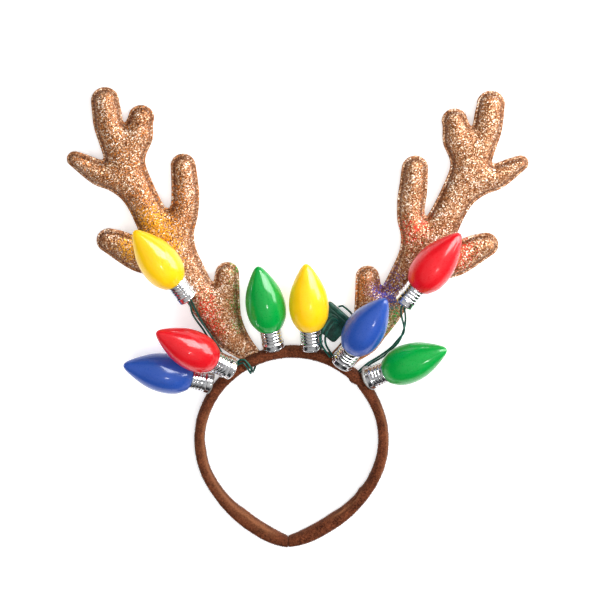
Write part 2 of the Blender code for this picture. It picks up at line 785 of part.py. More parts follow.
def smooth_route(route, spacing):
    """Evenly spaced points on the smooth curve through a route's own points."""
    points = np.array(route)
    padded = np.concatenate([[2 * points[0] - points[1]], points, [2 * points[-1] - points[-2]]])
    t = np.linspace(0, 1, 12, endpoint=False)[:, None]
    pieces = []
    for a, b, c, d in zip(padded, padded[1:], padded[2:], padded[3:]):
        cubic = (2 * a - 5 * b + 4 * c - d) * t**2 + (3 * b - a - 3 * c + d) * t**3
        pieces.append(0.5 * (2 * b + (c - a) * t + cubic))
    fine = np.concatenate(pieces + [points[-1:]])
    travelled = np.concatenate([[0.0], np.cumsum(np.linalg.norm(np.diff(fine, axis=0), axis=1))])
    places = np.linspace(0.0, travelled[-1], max(4, round(travelled[-1] / spacing) + 1))
    return np.stack([np.interp(places, travelled, fine[:, axis]) for axis in range(3)], axis=-1)


def make_wires():
    """Each wire strand is a round tube along its route."""
    for name, route in WIRE_ROUTES.items():
        points = smooth_route(route, 2.2 * wire_diameter)
        curve = bpy.data.curves.new(name, "CURVE")
        curve.dimensions = "3D"
        curve.bevel_depth = wire_diameter / 2
        curve.bevel_resolution = 2
        curve.use_fill_caps = True
        spline = curve.splines.new("POLY")
        spline.points.add(len(points) - 1)
        for target, point in zip(spline.points, points):
            target.co = (*point, 1.0)
        add_object(name, curve, "wire")


def main():
    clear_scene()
    make_headband()
    for name in ANTLERS:
        make_antler(name)
    make_box()
    make_bulbs()
    make_wires()


main()
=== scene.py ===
"""Reindeer antler headband, dressed on its CAD frame.

Laid out as an add-on: each operator makes one kind of piece, and the sidebar panel lists them.
Every piece is in the frame's own place, in metres: the band lies on its back on the floor, the
antlers point along +Y and the front faces up.
"""
import math

import bmesh
import bpy
import numpy as np
from mathutils import Matrix, Vector
from mathutils.geometry import delaunay_2d_cdt


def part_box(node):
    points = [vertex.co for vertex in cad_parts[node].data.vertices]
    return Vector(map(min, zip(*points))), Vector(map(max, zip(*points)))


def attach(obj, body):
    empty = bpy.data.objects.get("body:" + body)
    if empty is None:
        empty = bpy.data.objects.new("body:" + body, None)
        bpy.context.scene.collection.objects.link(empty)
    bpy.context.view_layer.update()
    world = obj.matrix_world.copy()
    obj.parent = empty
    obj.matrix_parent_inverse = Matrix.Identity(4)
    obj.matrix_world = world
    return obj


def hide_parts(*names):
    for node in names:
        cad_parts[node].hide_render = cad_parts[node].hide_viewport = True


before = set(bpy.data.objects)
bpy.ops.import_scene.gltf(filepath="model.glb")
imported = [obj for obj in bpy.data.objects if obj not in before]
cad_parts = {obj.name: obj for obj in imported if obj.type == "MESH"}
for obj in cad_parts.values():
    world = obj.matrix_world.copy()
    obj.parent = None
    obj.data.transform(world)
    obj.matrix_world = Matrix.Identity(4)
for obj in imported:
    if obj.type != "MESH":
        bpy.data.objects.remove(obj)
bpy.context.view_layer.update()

bl_info = {
    "name": "Antler headband",
    "version": (1, 0, 0),
    "blender": (4, 5, 0),
    "location": "3D View > Sidebar > Headband",
    "description": "Plush band, stuffed glitter antlers, coloured bulbs, battery box and wires",
    "category": "Object",
}

# Headband, as in the solids
band_centre_x = -0.0042
band_centre_y = -0.0837
band_radius = 0.0653
band_thickness = 0.0070
band_width = 0.0150
band_end_rounding = 0.0014
band_end_share = 0.68
sleeve_end_gap = -0.0002
band_end_drift = -0.0023
band_drift_start_turn = 120.0
section_squareness = 3.2
seat_gap = 0.0003

# Antlers, as in the solids
antler_height = 0.1820
antler_spread = 0.1200
antler_tine_radius = 0.0084
antler_puff = 0.0063
antler_flange_thickness = 0.0020
antler_flange_width = 0.0018
antler_puff_reach = 0.0120
antler_foot_taper = 0.0200
antler_mid_height = 0.0080
antler_foot_pull = 0.45

# Bulbs, as in the solids
bulb_base_length = 0.0145
bulb_base_radius = 0.0078
bulb_glass_length = 0.0465
bulb_glass_radius = 0.0132

# Wires, as in the solids
wire_diameter = 0.0014
wire_step_share = 2.2
route_unit = 0.0001

# The fold on the band's lower right: the turn it starts at and how far it runs in degrees, the angle of
# its line round the section and how far that slants, its width in radians, and its depth at the edge and
# on top
fold_first_turn = 125.0
fold_run = 24.0
fold_first_angle = 160.0
fold_slant = 52.0
fold_width = 0.13
fold_edge_depth = 0.0013
fold_top_depth = 0.0016

# The pile: how far a root sits in the sleeve, a fibre's width, and how much the fibres lean
pile_root_depth = 0.00012
pile_width = 0.00016
pile_lean = 0.45

# The stitch line: its distance from the antler's edge and its half width in the cloth's relief and in
# its colour, darkened there by the thread's own colour and by painted shade of the puckers
seam_groove_distance = 0.0021
seam_groove_width = 0.0007
stitch_shade_distance = 0.0023
stitch_shade_width = 0.0009

# Where the camera looks
view_target = (0.00147, 0.0135, 0.008)

# Lamps: name, direction from the headband, distance, size, share of the power, whether it lights matt
# surfaces and whether it shows in gloss
LAMPS = (
    ("softbox", (0.75, 0.45, 0.60), 0.90, 0.55, 1.10, True, False),
    ("fill", (0.05, -0.20, 1.00), 1.20, 0.90, 1.00, True, False),
    ("panel", (0.50, 0.50, 0.66), 0.95, 0.62, 2.30, False, True),
    ("side_panel", (0.95, 0.26, 0.26), 0.95, 0.66, 2.00, False, True),
    ("spark", (0.24, -0.34, 0.90), 1.60, 0.13, 0.36, False, True),
)

# Brightness of the room by height: the floor's light, dark walls and a bright ceiling
ROOM_LIGHT = (
    (0.0, (0.90, 0.90, 0.90)),
    (0.08, (0.04, 0.04, 0.045)),
    (0.50, (0.05, 0.05, 0.055)),
    (0.66, (0.80, 0.80, 0.80)),
    (1.0, (0.90, 0.90, 0.90)),
)

# The band's sections on one side, from the crown (turn 0) to the end, as shares of the band's sizes:
# turn in degrees, reach of the middle line, thickness, width
BAND_SECTIONS = (
    (0.0, 1.000, 1.00, 1.00),
    (60.0, 1.000, 1.00, 1.00),
    (90.0, 1.000, 0.97, 0.95),
    (111.0, 0.992, 0.98, 0.90),
    (131.0, 0.989, 1.02, 0.86),
    (143.0, 1.001, 1.18, 0.84),
    (157.0, 1.028, 1.32, 0.84),
    (170.0, 1.086, 1.28, 0.82),
    (179.8, 1.135, 0.98, 0.76),
)

# Small bumps where the sleeve's inner edge is creased: turn in degrees, how far in, how wide in degrees
BAND_CREASES = (
    (43.5, 0.0009, 2.2),
    (47.5, -0.0005, 1.6),
    (127.0, 0.0007, 2.4),
    (-97.0, 0.0003, 5.0),
    (151.0, 0.0004, 4.0),
    (-148.0, 0.0004, 4.5),
)

# An antler's outline from the outer end of its foot, up the outer side and back down the inner side:
# outward (share of the spread), upward (share of the height), radius (share of the tine radius) and the
# arc's first and last angle in degrees. A row of two numbers is one point.
ANTLER_OUTLINE = (
    (0.075, -0.002), (0.161, 0.035), (0.220, 0.086), (0.292, 0.148), (0.342, 0.200), (0.403, 0.251),
    (0.470, 0.284), (0.548, 0.303), (0.659, 0.328), (0.773, 0.434, 0.98, -65, 100), (0.692, 0.469),
    (0.625, 0.453), (0.609, 0.466), (0.625, 0.496), (0.659, 0.545), (0.703, 0.588), (0.770, 0.620),
    (0.864, 0.646), (0.957, 0.736, 0.62, -45, 105), (0.892, 0.753), (0.809, 0.733), (0.800, 0.747),
    (0.823, 0.796), (0.850, 0.856), (0.785, 0.948, 1.13, -12, 185), (0.696, 0.915), (0.683, 0.869),
    (0.588, 0.886, 1.05, 5, 205), (0.525, 0.807), (0.561, 0.751), (0.564, 0.713), (0.525, 0.646),
    (0.481, 0.584), (0.448, 0.554), (0.428, 0.571), (0.425, 0.627), (0.359, 0.710, 1.00, -15, 172),
    (0.276, 0.653), (0.269, 0.597), (0.279, 0.522), (0.299, 0.466), (0.292, 0.410), (0.253, 0.348),
    (0.201, 0.281), (0.189, 0.301), (0.118, 0.310, 0.96, 5, 190), (0.049, 0.241), (0.046, 0.190),
)

# Where each antler is sewn on: side (-1 left, 1 right), turn of its root, lift of the root,
# tilt outward in degrees, the turns of the foot's outer and inner end, and the stretch of its height
ANTLERS = {
    "antler_left": (-1, 26.0, 0.0000, 0.0, 30.5, 18.8, 1.000),
    "antler_right": (1, 33.5, 0.0015, 0.4, 38.6, 23.5, 1.006),
}

# Where one antler was cut and sewn a little off the shared outline: row of the outline, counted from
# nought, then what is added to its outward, upward and radius shares
ANTLER_NUDGES = {
    "antler_left": {},
    "antler_right": {
        33: (-0.008, -0.016, 0.00),
        34: (0.002, -0.010, 0.00),
        35: (0.018, 0.000, 0.00),
        36: (0.015, 0.002, 0.06),
        37: (0.012, 0.000, 0.00),
        38: (0.008, 0.000, 0.00),
    },
}

# Glass profile: along the axis from the lower end, and radius, as shares of the glass's sizes
GLASS_PROFILE = (
    (0.000, 0.62),
    (0.065, 0.77),
    (0.165, 0.93),
    (0.300, 1.00),
    (0.440, 0.98),
    (0.580, 0.88),
    (0.720, 0.69),
    (0.860, 0.44),
    (0.965, 0.20),
)

# The bulbs, by colour and place
BULBS = (
    "blue_left", "red_left", "green_centre", "yellow_centre",
    "blue_right", "green_right", "yellow_left", "red_right",
)

# Where the pile is painted paler as strips of light catching it, a painted sheen: first and last turn in
# degrees, angle round the section in degrees, how wide in degrees, strength
PAINTED_SHEEN_STRIPS = (
    (-176.0, -62.0, 134.0, 30.0, 1.00),
    (122.0, 156.0, 132.0, 18.0, 0.90),
    (60.0, 118.0, 52.0, 20.0, 0.70),
)

# The bulbs' colours, painted onto the flakes near them as their reflection
PAINTED_BULB_COLOURS = {
    "red": (0.78, 0.030, 0.018),
    "green": (0.020, 0.33, 0.055),
    "blue": (0.050, 0.055, 0.42),
    "yellow": (1.0, 0.47, 0.020),
    "orange": (0.85, 0.24, 0.020),
}

# Where a bulb's reflection is painted into the glitter: colour, antler, place in plan, reach and strength
PAINTED_BULB_REFLECTIONS = (
    ("yellow", "antler_left", (-0.0985, 0.0679), 0.0085, 0.55),
    ("yellow", "antler_left", (-0.0899, 0.0591), 0.0090, 0.60),
    ("yellow", "antler_left", (-0.0825, 0.0488), 0.0060, 0.50),
    ("yellow", "antler_left", (-0.1132, 0.0516), 0.0055, 0.50),
    ("yellow", "antler_left", (-0.1105, 0.0454), 0.0050, 0.45),
    ("orange", "antler_left", (-0.0985, 0.0829), 0.0120, 0.16),
    ("orange", "antler_left", (-0.0785, 0.0829), 0.0100, 0.16),
    ("orange", "antler_left", (-0.0790, 0.0680), 0.0080, 0.18),
    ("orange", "antler_left", (-0.1150, 0.1150), 0.0420, 0.10),
    ("red", "antler_left", (-0.0605, 0.0066), 0.0065, 0.50),
    ("red", "antler_left", (-0.0545, -0.0043), 0.0055, 0.40),
    ("red", "antler_left", (-0.0625, 0.0170), 0.0060, 0.22),
    ("green", "antler_left", (-0.0405, 0.0350), 0.0035, 0.40),
    ("green", "antler_left", (-0.0400, 0.0229), 0.0035, 0.40),
    ("green", "antler_left", (-0.0415, 0.0113), 0.0040, 0.40),
    ("green", "antler_left", (-0.0385, -0.0023), 0.0045, 0.30),
    ("blue", "antler_right", (0.0530, 0.0210), 0.0060, 0.45),
    ("blue", "antler_right", (0.0610, 0.0170), 0.0070, 0.50),
    ("blue", "antler_right", (0.0640, 0.0300), 0.0060, 0.25),
    ("green", "antler_right", (0.0660, 0.0050), 0.0065, 0.45),
    ("green", "antler_right", (0.0620, -0.0060), 0.0060, 0.35),
    ("orange", "antler_right", (0.0400, 0.0190), 0.0060, 0.40),
    ("orange", "antler_right", (0.0430, 0.0290), 0.0060, 0.25),
    ("red", "antler_right", (0.0740, 0.0590), 0.0080, 0.35),
    ("red", "antler_right", (0.0830, 0.0660), 0.0060, 0.25),
    ("red", "antler_right", (0.0640, 0.0640), 0.0070, 0.20),
    ("red", "antler_right", (0.1105, 0.0500), 0.0065, 0.40),
    ("red", "antler_right", (0.1070, 0.0410), 0.0060, 0.40),
)

# The wires' routes, as points that each smooth curve passes through, as in the solids, in tenths of a
# millimetre
WIRE_ROUTES = {
    "wire_left_outer": (
        (-737, 176, 219), (-724, 157, 212), (-712, 110, 165), (-706, 61, 120), (-682, 10, 104),
        (-639, -53, 94), (-588, -140, 80), (-545, -223, 66), (-497, -297, 58), (-480, -345, 50),
    ),
    "wire_left_inner": (
        (-723, 187, 219), (-711, 168, 212), (-696, 124, 172), (-676, 72, 136), (-639, -6, 118),
        (-599, -71, 114), (-550, -145, 112), (-514, -213, 92), (-484, -279, 74), (-468, -326, 70),
    ),
    "wire_right_inner": (
        (703, 146, 245), (686, 123, 240), (685, 87, 210), (692, 32, 160), (709, -38, 124), (706, -83, 114),
        (672, -126, 106), (627, -182, 98), (551, -245, 84), (470, -298, 74), (406, -356, 68),
    ),
    "wire_right_outer": (
        (719, 133, 245), (706, 109, 238), (714, 64, 190), (717, -3, 123), (709, -59, 89), (685, -131, 78),
        (655, -177, 70), (572, -256, 56), (485, -311, 49), (419, -369, 47),
    ),
    "wire_foot_loop_upper": (
        (-402, -276, 153), (-385, -254, 166), (-362, -250, 168), (-343, -265, 168), (-324, -290, 168),
        (-311, -312, 166), (-304, -332, 157), (-300, -345, 136), (-296, -343, 112), (-289, -330, 94),
        (-284, -318, 82),
    ),
    "wire_foot_loop_lower": (
        (-413, -301, 156), (-389, -280, 167), (-365, -274, 167), (-348, -294, 166), (-331, -321, 163),
        (-320, -341, 154), (-315, -355, 136), (-315, -356, 114), (-312, -345, 92), (-306, -329, 76),
    ),
    "wire_box_back": (
        (272, 78, 24), (286, 89, 26), (311, 77, 34), (345, 51, 46), (370, 24, 56),
    ),
    "wire_box_loop_outer": (
        (268, -20, 68), (267, -15, 84), (254, 10, 109), (225, 20, 140), (190, -8, 202), (163, -52, 219),
        (149, -96, 220), (156, -139, 204), (176, -180, 178), (198, -212, 162), (216, -240, 153),
    ),
    "wire_box_loop_inner": (
        (285, -40, 68), (284, -35, 84), (270, -12, 112), (241, -8, 138), (209, -38, 168), (187, -79, 184),
        (181, -116, 184), (191, -160, 170), (214, -201, 150), (234, -235, 140),
    ),
}


# Settings

def length_setting(name, default, description):
    """A length in metres that the panel shows."""
    return bpy.props.FloatProperty(
        name=name, description=description, default=default, min=0.0, unit="LENGTH", subtype="DISTANCE",
        precision=5,
    )


def colour_setting(name, default, description):
    """A colour that the panel shows."""
    return bpy.props.FloatVectorProperty(
        name=name, description=description, default=default, size=3, min=0.0, max=1.0, subtype="COLOR"
    )


def share_setting(name, default, description):
    """A share from nothing to all that the panel shows."""
    return bpy.props.FloatProperty(
        name=name, description=description, default=default, min=0.0, max=1.0, subtype="FACTOR"
    )


class PlushSettings(bpy.types.PropertyGroup):
    """The band's sleeve and its pile."""

    colour: colour_setting("Plush", (0.122, 0.034, 0.014), "Colour of the plush")
    deep_colour: colour_setting("Shaded plush", (0.046, 0.012, 0.005), "Colour where the pile lies flat")
    pile_length: length_setting("Pile length", 0.0010, "Length of one fibre of the pile")
    pile_count: bpy.props.IntProperty(
        name="Pile count", description="Fibres in the whole pile", default=26000, min=100, max=45000
    )
    lump_height: length_setting("Lump height", 0.00028, "How far the padding under the plush stands proud")


class AntlerSettings(bpy.types.PropertyGroup):
    """The stuffed antlers and their stitching."""

    pressure: bpy.props.FloatProperty(
        name="Stuffing", description="Pressure that blows the antler up", default=12.0, min=0.0, max=20.0
    )
    most_swell: length_setting("Most swell", 0.0024, "The most that the stuffing may push a point")
    start_share: share_setting("Start thickness", 0.90, "Thickness before the stuffing swells it")
    stitch_pitch: length_setting("Stitch pitch", 0.0026, "From one stitch to the next")
    stitch_length: length_setting("Stitch length", 0.0017, "Length of one stitch")
    thread_diameter: length_setting("Thread", 0.00044, "Diameter of the thread")
    pucker_depth: length_setting("Pucker depth", 0.00045, "How deep each stitch pulls the cloth in")
    light_colour: colour_setting("Light flakes", (0.66, 0.44, 0.27), "The palest common flakes")
    mid_colour: colour_setting("Common flakes", (0.33, 0.130, 0.048), "Most of the flakes")
    shaded_flake_colour: colour_setting("Dark flakes", (0.16, 0.050, 0.016), "Flakes that face away")


class BulbSettings(bpy.types.PropertyGroup):
    """The coloured bulbs and their chromed screw bases."""

    red: colour_setting("Red", (0.66, 0.006, 0.013), "Red plastic")
    green: colour_setting("Green", (0.0, 0.325, 0.044), "Green plastic")
    blue: colour_setting("Blue", (0.022, 0.078, 0.375), "Blue plastic")
    yellow: colour_setting("Yellow", (1.0, 0.600, 0.006), "Yellow plastic")
    thread_depth: length_setting("Thread depth", 0.00055, "Depth of the screw thread")
    thread_pitch: length_setting("Thread pitch", 0.0023, "From one turn of the thread to the next")
    glass_roughness: share_setting("Roughness", 0.30, "Roughness of the plastic")


class WireSettings(bpy.types.PropertyGroup):
    """The battery box and its wires."""

    wire_colour: colour_setting("Wire", (0.004, 0.070, 0.050), "Colour of the wires' cover")
    box_colour: colour_setting("Box", (0.004, 0.056, 0.040), "Colour of the box's plastic")


class StageSettings(bpy.types.PropertyGroup):
    """Camera, lamps and floor."""

    camera_distance: length_setting("Camera distance", 2.5, "From the camera to the headband")
    camera_tilt: bpy.props.FloatProperty(
        name="Camera tilt", description="Turn of the view from straight down towards the antlers' tips",
        default=math.radians(12.0), subtype="ANGLE", unit="ROTATION",
    )
    lamp_power: bpy.props.FloatProperty(
        name="Lamp power", description="Power of the main lamp", default=7.0, min=0.0, unit="POWER"
    )


# Meshes from arrays

def grid_faces(rows, columns, wrap_rows=False, wrap_columns=True):
    """Quads between neighbours of a grid of points, as one array of point numbers."""
    row = np.arange(rows if wrap_rows else rows - 1)[:, None]
    column = np.arange(columns if wrap_columns else columns - 1)[None, :]
    next_row, next_column = (row + 1) % rows, (column + 1) % columns
    corners = [row * columns + column, row * columns + next_column,
               next_row * columns + next_column, next_row * columns + column]
    return np.stack(np.broadcast_arrays(*corners), axis=-1).reshape(-1, 4)


def put_mesh(name, points, faces, material, outward=True):
    """Put arrays of points and faces into a smooth mesh and link it as an object at the origin."""
    mesh = bpy.data.meshes.new(name)
    lists = faces.tolist() if isinstance(faces, np.ndarray) else faces
    mesh.from_pydata(np.asarray(points, float).reshape(-1, 3).tolist(), [], lists)
    if outward:
        shape = bmesh.new()
        shape.from_mesh(mesh)
        bmesh.ops.recalc_face_normals(shape, faces=shape.faces)
        shape.to_mesh(mesh)
        shape.free()
    mesh.shade_smooth()
    mesh.materials.append(material)
    piece = bpy.data.objects.new(name, mesh)
    bpy.context.scene.collection.objects.link(piece)
    return piece


def capped_tube(rows, columns):
    """Quads of a closed tube of rings, and one face on each end, as a list."""
    faces = grid_faces(rows, columns).tolist()
    return faces + [list(range(columns)), list(range((rows - 1) * columns, rows * columns))]


def point_array(mesh):
    """The mesh's points as one array."""
    flat = np.empty(len(mesh.vertices) * 3)
    mesh.vertices.foreach_get("co", flat)
    return flat.reshape(-1, 3)


def set_points(mesh, points):
    """Write an array of points back into the mesh."""
    mesh.vertices.foreach_set("co", np.ascontiguousarray(points).ravel())
    mesh.update()


def give_uv(mesh, u, v, rows, columns):
    """UV map of a grid: u round the columns and v along the rows, with the seam's last quad closed."""
    layer = mesh.uv_layers.new(name="surface")
    loops = np.empty(len(mesh.loops), int)
    mesh.loops.foreach_get("vertex_index", loops)
    inside = loops < rows * columns
    column = np.where(inside, loops % columns, 0)
    row = np.where(inside, loops // columns, np.where(loops == rows * columns, 0, rows - 1))
    starts = np.empty(len(mesh.polygons), int)
    totals = np.empty(len(mesh.polygons), int)
    mesh.polygons.foreach_get("loop_start", starts)
    mesh.polygons.foreach_get("loop_total", totals)
    face = np.repeat(np.arange(len(starts)), totals)
    widest = np.zeros(len(starts), int)
    np.maximum.at(widest, face, column)
    closes = (widest[face] == columns - 1) & (column == 0)
    flat = np.stack([np.where(closes, 1.0, u[column]), v[row]], axis=-1)
    layer.data.foreach_set("uv", np.ascontiguousarray(flat, np.float32).ravel())


def give_share(mesh, name, shares):
    """Store a share from nothing to all at every point, for the material to read."""
    layer = mesh.attributes.new(name, "FLOAT", "POINT")
    layer.data.foreach_set("value", np.ascontiguousarray(shares, np.float32).ravel())


def on_body(piece, slot_name, *nodes):
    """The piece rides on the one body and stands for its CAD nodes; slot_name is not used."""
    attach(piece, "root")
    if nodes:
        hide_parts(*nodes)
    return piece


def read_table(table, column, place):
    """Read a column of a table at any place on a smooth curve through its rows."""
    knots = np.array([row[0] for row in table])
    values = np.array([row[column] for row in table])
    slopes = np.gradient(values, knots)
    place = np.clip(np.asarray(place, float), knots[0], knots[-1])
    index = np.clip(np.searchsorted(knots, place, side="right") - 1, 0, len(knots) - 2)
    step = knots[index + 1] - knots[index]
    t = (place - knots[index]) / step
    return (
        (2 * t**3 - 3 * t**2 + 1) * values[index]
        + (t**3 - 2 * t**2 + t) * step * slopes[index]
        + (3 * t**2 - 2 * t**3) * values[index + 1]
        + (t**3 - t**2) * step * slopes[index + 1]
    )


def smooth_through(points, spacing, closed=False):
    """Evenly spaced points on the smooth curve that passes through the given points."""
    points = np.asarray(points, float)
    if closed:
        padded = np.concatenate([points[-1:], points, points[:2]])
    else:
        padded = np.concatenate([[2 * points[0] - points[1]], points, [2 * points[-1] - points[-2]]])
    t = np.linspace(0, 1, 12, endpoint=False)[:, None]
    pieces = []
    for a, b, c, d in zip(padded, padded[1:], padded[2:], padded[3:]):
        cubic = (2 * a - 5 * b + 4 * c - d) * t**2 + (3 * b - a - 3 * c + d) * t**3
        pieces.append(0.5 * (2 * b + (c - a) * t + cubic))
    fine = np.concatenate(pieces + [points[:1] if closed else points[-1:]])
    travelled = np.concatenate([[0.0], np.cumsum(np.linalg.norm(np.diff(fine, axis=0), axis=1))])
    count = max(4, round(travelled[-1] / spacing) + 1)
    places = np.linspace(0.0, travelled[-1], count)
    if closed:
        places = places[:-1]
    return np.stack([np.interp(places, travelled, fine[:, axis]) for axis in range(points.shape[1])], axis=-1)


def soft_noise(*coordinates, seed, waves=9, low=1.0, high=4.0):
    """Smooth noise from -1 to 1: a sum of sine waves of seeded random directions and phases."""
    random = np.random.default_rng(seed)
    total = 0.0
    for _ in range(waves):
        turn = sum(random.normal() * coordinate for coordinate in coordinates)
        total = total + np.sin(turn * random.uniform(low, high) + random.uniform(0, 2 * math.pi))
    return total / math.sqrt(waves / 2) / 2


# Materials

def new_material(name):
    """An empty material: its tree and its Principled shader."""
    made = bpy.data.materials.new(name)
    made.use_nodes = True
    return made, made.node_tree, made.node_tree.nodes["Principled BSDF"]


def feed(tree, made, inputs):
    """Give a node its inputs: each is a value or another node's socket."""
    for name, value in inputs.items():
        if isinstance(value, bpy.types.NodeSocket):
            tree.links.new(value, made.inputs[name])
        else:
            made.inputs[name].default_value = value


def node(tree, kind, inputs, **settings):
    """Add a node with its settings and inputs."""
    made = tree.nodes.new("ShaderNode" + kind)
    for name, value in settings.items():
        setattr(made, name, value)
    feed(tree, made, inputs)
    return made


def toned(colour, factors, lift=0.0):
    """A colour times one factor, or one for each channel, plus a lift, and never past white."""
    return tuple(np.minimum(1.0, np.array(colour) * factors + lift))


def place(tree):
    """The socket that gives a point's place on the object."""
    return node(tree, "TexCoord", {}).outputs["Object"]


def noise(tree, scale, detail=2.0, vector=None, roughness=0.5):
    """A noise pattern's factor, at a scale in cycles per metre."""
    inputs = {"Vector": vector or place(tree), "Scale": scale, "Detail": detail, "Roughness": roughness}
    return node(tree, "TexNoise", inputs).outputs["Fac"]


def ramp(tree, factor, stops, smooth=True):
    """Colours along a factor, as rows of place and colour."""
    made = node(tree, "ValToRGB", {"Fac": factor})
    made.color_ramp.interpolation = "LINEAR" if smooth else "CONSTANT"
    while len(made.color_ramp.elements) < len(stops):
        made.color_ramp.elements.new(1.0)
    for element, (where, colour) in zip(made.color_ramp.elements, stops):
        element.position = where
        element.color = (*colour, 1.0)
    return made.outputs["Color"]


def mixed(tree, factor, first, second):
    """One colour over another by a factor."""
    inputs = {0: factor}
    for index, colour in ((6, first), (7, second)):
        inputs[index] = colour if isinstance(colour, bpy.types.NodeSocket) else (*colour, 1.0)
    return node(tree, "Mix", inputs, data_type="RGBA").outputs[2]


def sum_of(tree, operation, first, second):
    """A math node on two values or sockets."""
    return node(tree, "Math", {0: first, 1: second}, operation=operation).outputs[0]


def ranged(tree, value, low, high, to_low, to_high):
    """A value moved from one range to another."""
    inputs = {"Value": value, "From Min": low, "From Max": high, "To Min": to_low, "To Max": to_high}
    return node(tree, "MapRange", inputs).outputs["Result"]


def bump(tree, shader, height, distance, strength=1.0, normal=None):
    """Raise the shader's surface by a height pattern."""
    inputs = {"Height": height, "Distance": distance, "Strength": strength}
    if normal is not None:
        inputs["Normal"] = normal
    made = node(tree, "Bump", inputs).outputs["Normal"]
    feed(tree, shader, {"Normal": made})
    return made


def plush_material(settings, name="brown_plush", lift=1.0):
    """Short brown pile: brushed patches, fine fibre speckle, painted sheen in paler strips where light
    catches the pile, and a soft sheen.
    """
    made, tree, shader = new_material(name)
    where = place(tree)
    patches = noise(tree, 170.0, 3.0, where, 0.6)
    fibres = noise(tree, 950.0, 3.0, where, 0.75)
    patch_share, fibre_share = sum_of(tree, "MULTIPLY", patches, 0.30), sum_of(tree, "MULTIPLY", fibres, 0.70)
    both = sum_of(tree, "ADD", patch_share, fibre_share)
    middle = toned(settings.colour, lift)
    pale = toned(settings.colour, 2.1 * lift)
    colour = ramp(tree, both, ((0.40, settings.deep_colour), (0.50, middle), (0.62, pale)))
    # Paler pile where light catches it: painted sheen
    painted_sheen = node(tree, "Attribute", {}, attribute_name="painted_sheen").outputs["Fac"]
    sheen_colour = toned(settings.colour, (2.7, 3.7, 4.0))
    sheen_amount = sum_of(tree, "MULTIPLY", painted_sheen, ranged(tree, fibres, 0.3, 0.55, 0.45, 1.0))
    colour = mixed(tree, sheen_amount, colour, sheen_colour)
    feed(tree, shader, {
        "Base Color": colour, "Roughness": 0.95, "Sheen Weight": 0.12, "Sheen Roughness": 0.45,
        "Sheen Tint": (0.75, 0.42, 0.26, 1.0), "Specular IOR Level": 0.08,
    })
    bump(tree, shader, both, 0.0009, 0.8)
    return made


def glitter_material(settings):
    """Cloth closely covered in flakes: each small cell has its own colour and its own slant, its darkest
    colour painted shade of flakes turned from the light and its palest painted glints.
    """
    made, tree, shader = new_material("rose_gold_glitter")
    where = place(tree)
    cells = node(tree, "TexVoronoi", {"Vector": where, "Scale": 1600.0, "Randomness": 1.0})
    parts = node(tree, "SeparateColor", {"Color": cells.outputs["Color"]})
    pick, slant = parts.outputs[0], parts.outputs[1]
    drift = noise(tree, 130.0, 2.0, where)
    shifted = sum_of(tree, "ADD", pick, ranged(tree, drift, 0.3, 0.7, -0.10, 0.10))
    warm = toned(settings.mid_colour, (1.22, 1.18, 1.05))
    rose = toned(settings.mid_colour, (1.30, 1.55, 2.05))
    # Flake colours picked at random per cell: the dark colour is painted shade of flakes turned away from the
    # light, the near-white top stop painted glints
    colour = ramp(tree, shifted, (
        (0.00, settings.shaded_flake_colour),
        (0.16, toned(settings.mid_colour, (0.62, 0.55, 0.50))),
        (0.32, settings.mid_colour),
        (0.50, warm),
        (0.62, rose),
        (0.78, settings.light_colour),
        (0.94, (0.88, 0.74, 0.60)),
    ), smooth=False)
    # The bulbs' colours painted in as reflections on the flakes near them
    bulb_reflection = node(tree, "Attribute", {}, attribute_name="bulb_reflection")
    reflection_taken = sum_of(tree, "GREATER_THAN", bulb_reflection.outputs["Alpha"], slant)
    reflected_colour = mixed(tree, 0.88, colour, bulb_reflection.outputs["Color"])
    colour = mixed(tree, reflection_taken, colour, reflected_colour)
    # Darker dots along the stitch line: the thread's own colour and painted shade of the puckers
    seam = node(tree, "Attribute", {}, attribute_name="seam").outputs["Fac"]
    colour = mixed(tree, seam, colour, toned(settings.shaded_flake_colour, (0.7, 0.6, 0.5)))
    feed(tree, shader, {"Base Color": colour, "Metallic": 0.28, "Specular IOR Level": 0.25})
    rough = ranged(tree, slant, 0.0, 1.0, 0.30, 0.60)
    feed(tree, shader, {"Roughness": rough})
    centred = node(tree, "VectorMath", {0: cells.outputs["Color"], 1: (0.5, 0.5, 0.5)}, operation="SUBTRACT")
    turned = node(tree, "VectorMath", {0: centred.outputs[0], "Scale": 0.50}, operation="SCALE")
    facing = node(tree, "NewGeometry", {}).outputs["Normal"]
    leaning = node(tree, "VectorMath", {0: turned.outputs[0], 1: facing}, operation="ADD")
    unit = node(tree, "VectorMath", {0: leaning.outputs[0]}, operation="NORMALIZE").outputs[0]
    bump(tree, shader, cells.outputs["Distance"], 0.0003, 0.5, unit)
    return made


def thread_material():
    """Brown sewing thread: twisted plies along the stitch."""
    made, tree, shader = new_material("brown_thread")
    where = place(tree)
    plies = node(tree, "TexWave", {"Vector": where, "Scale": 1400.0, "Distortion": 2.0}).outputs["Fac"]
    colour = ramp(tree, plies, ((0.2, (0.16, 0.060, 0.022)), (0.8, (0.36, 0.165, 0.075))))
    feed(tree, shader, {"Base Color": colour, "Roughness": 0.75})
    bump(tree, shader, plies, 0.0001, 0.6)
    return made


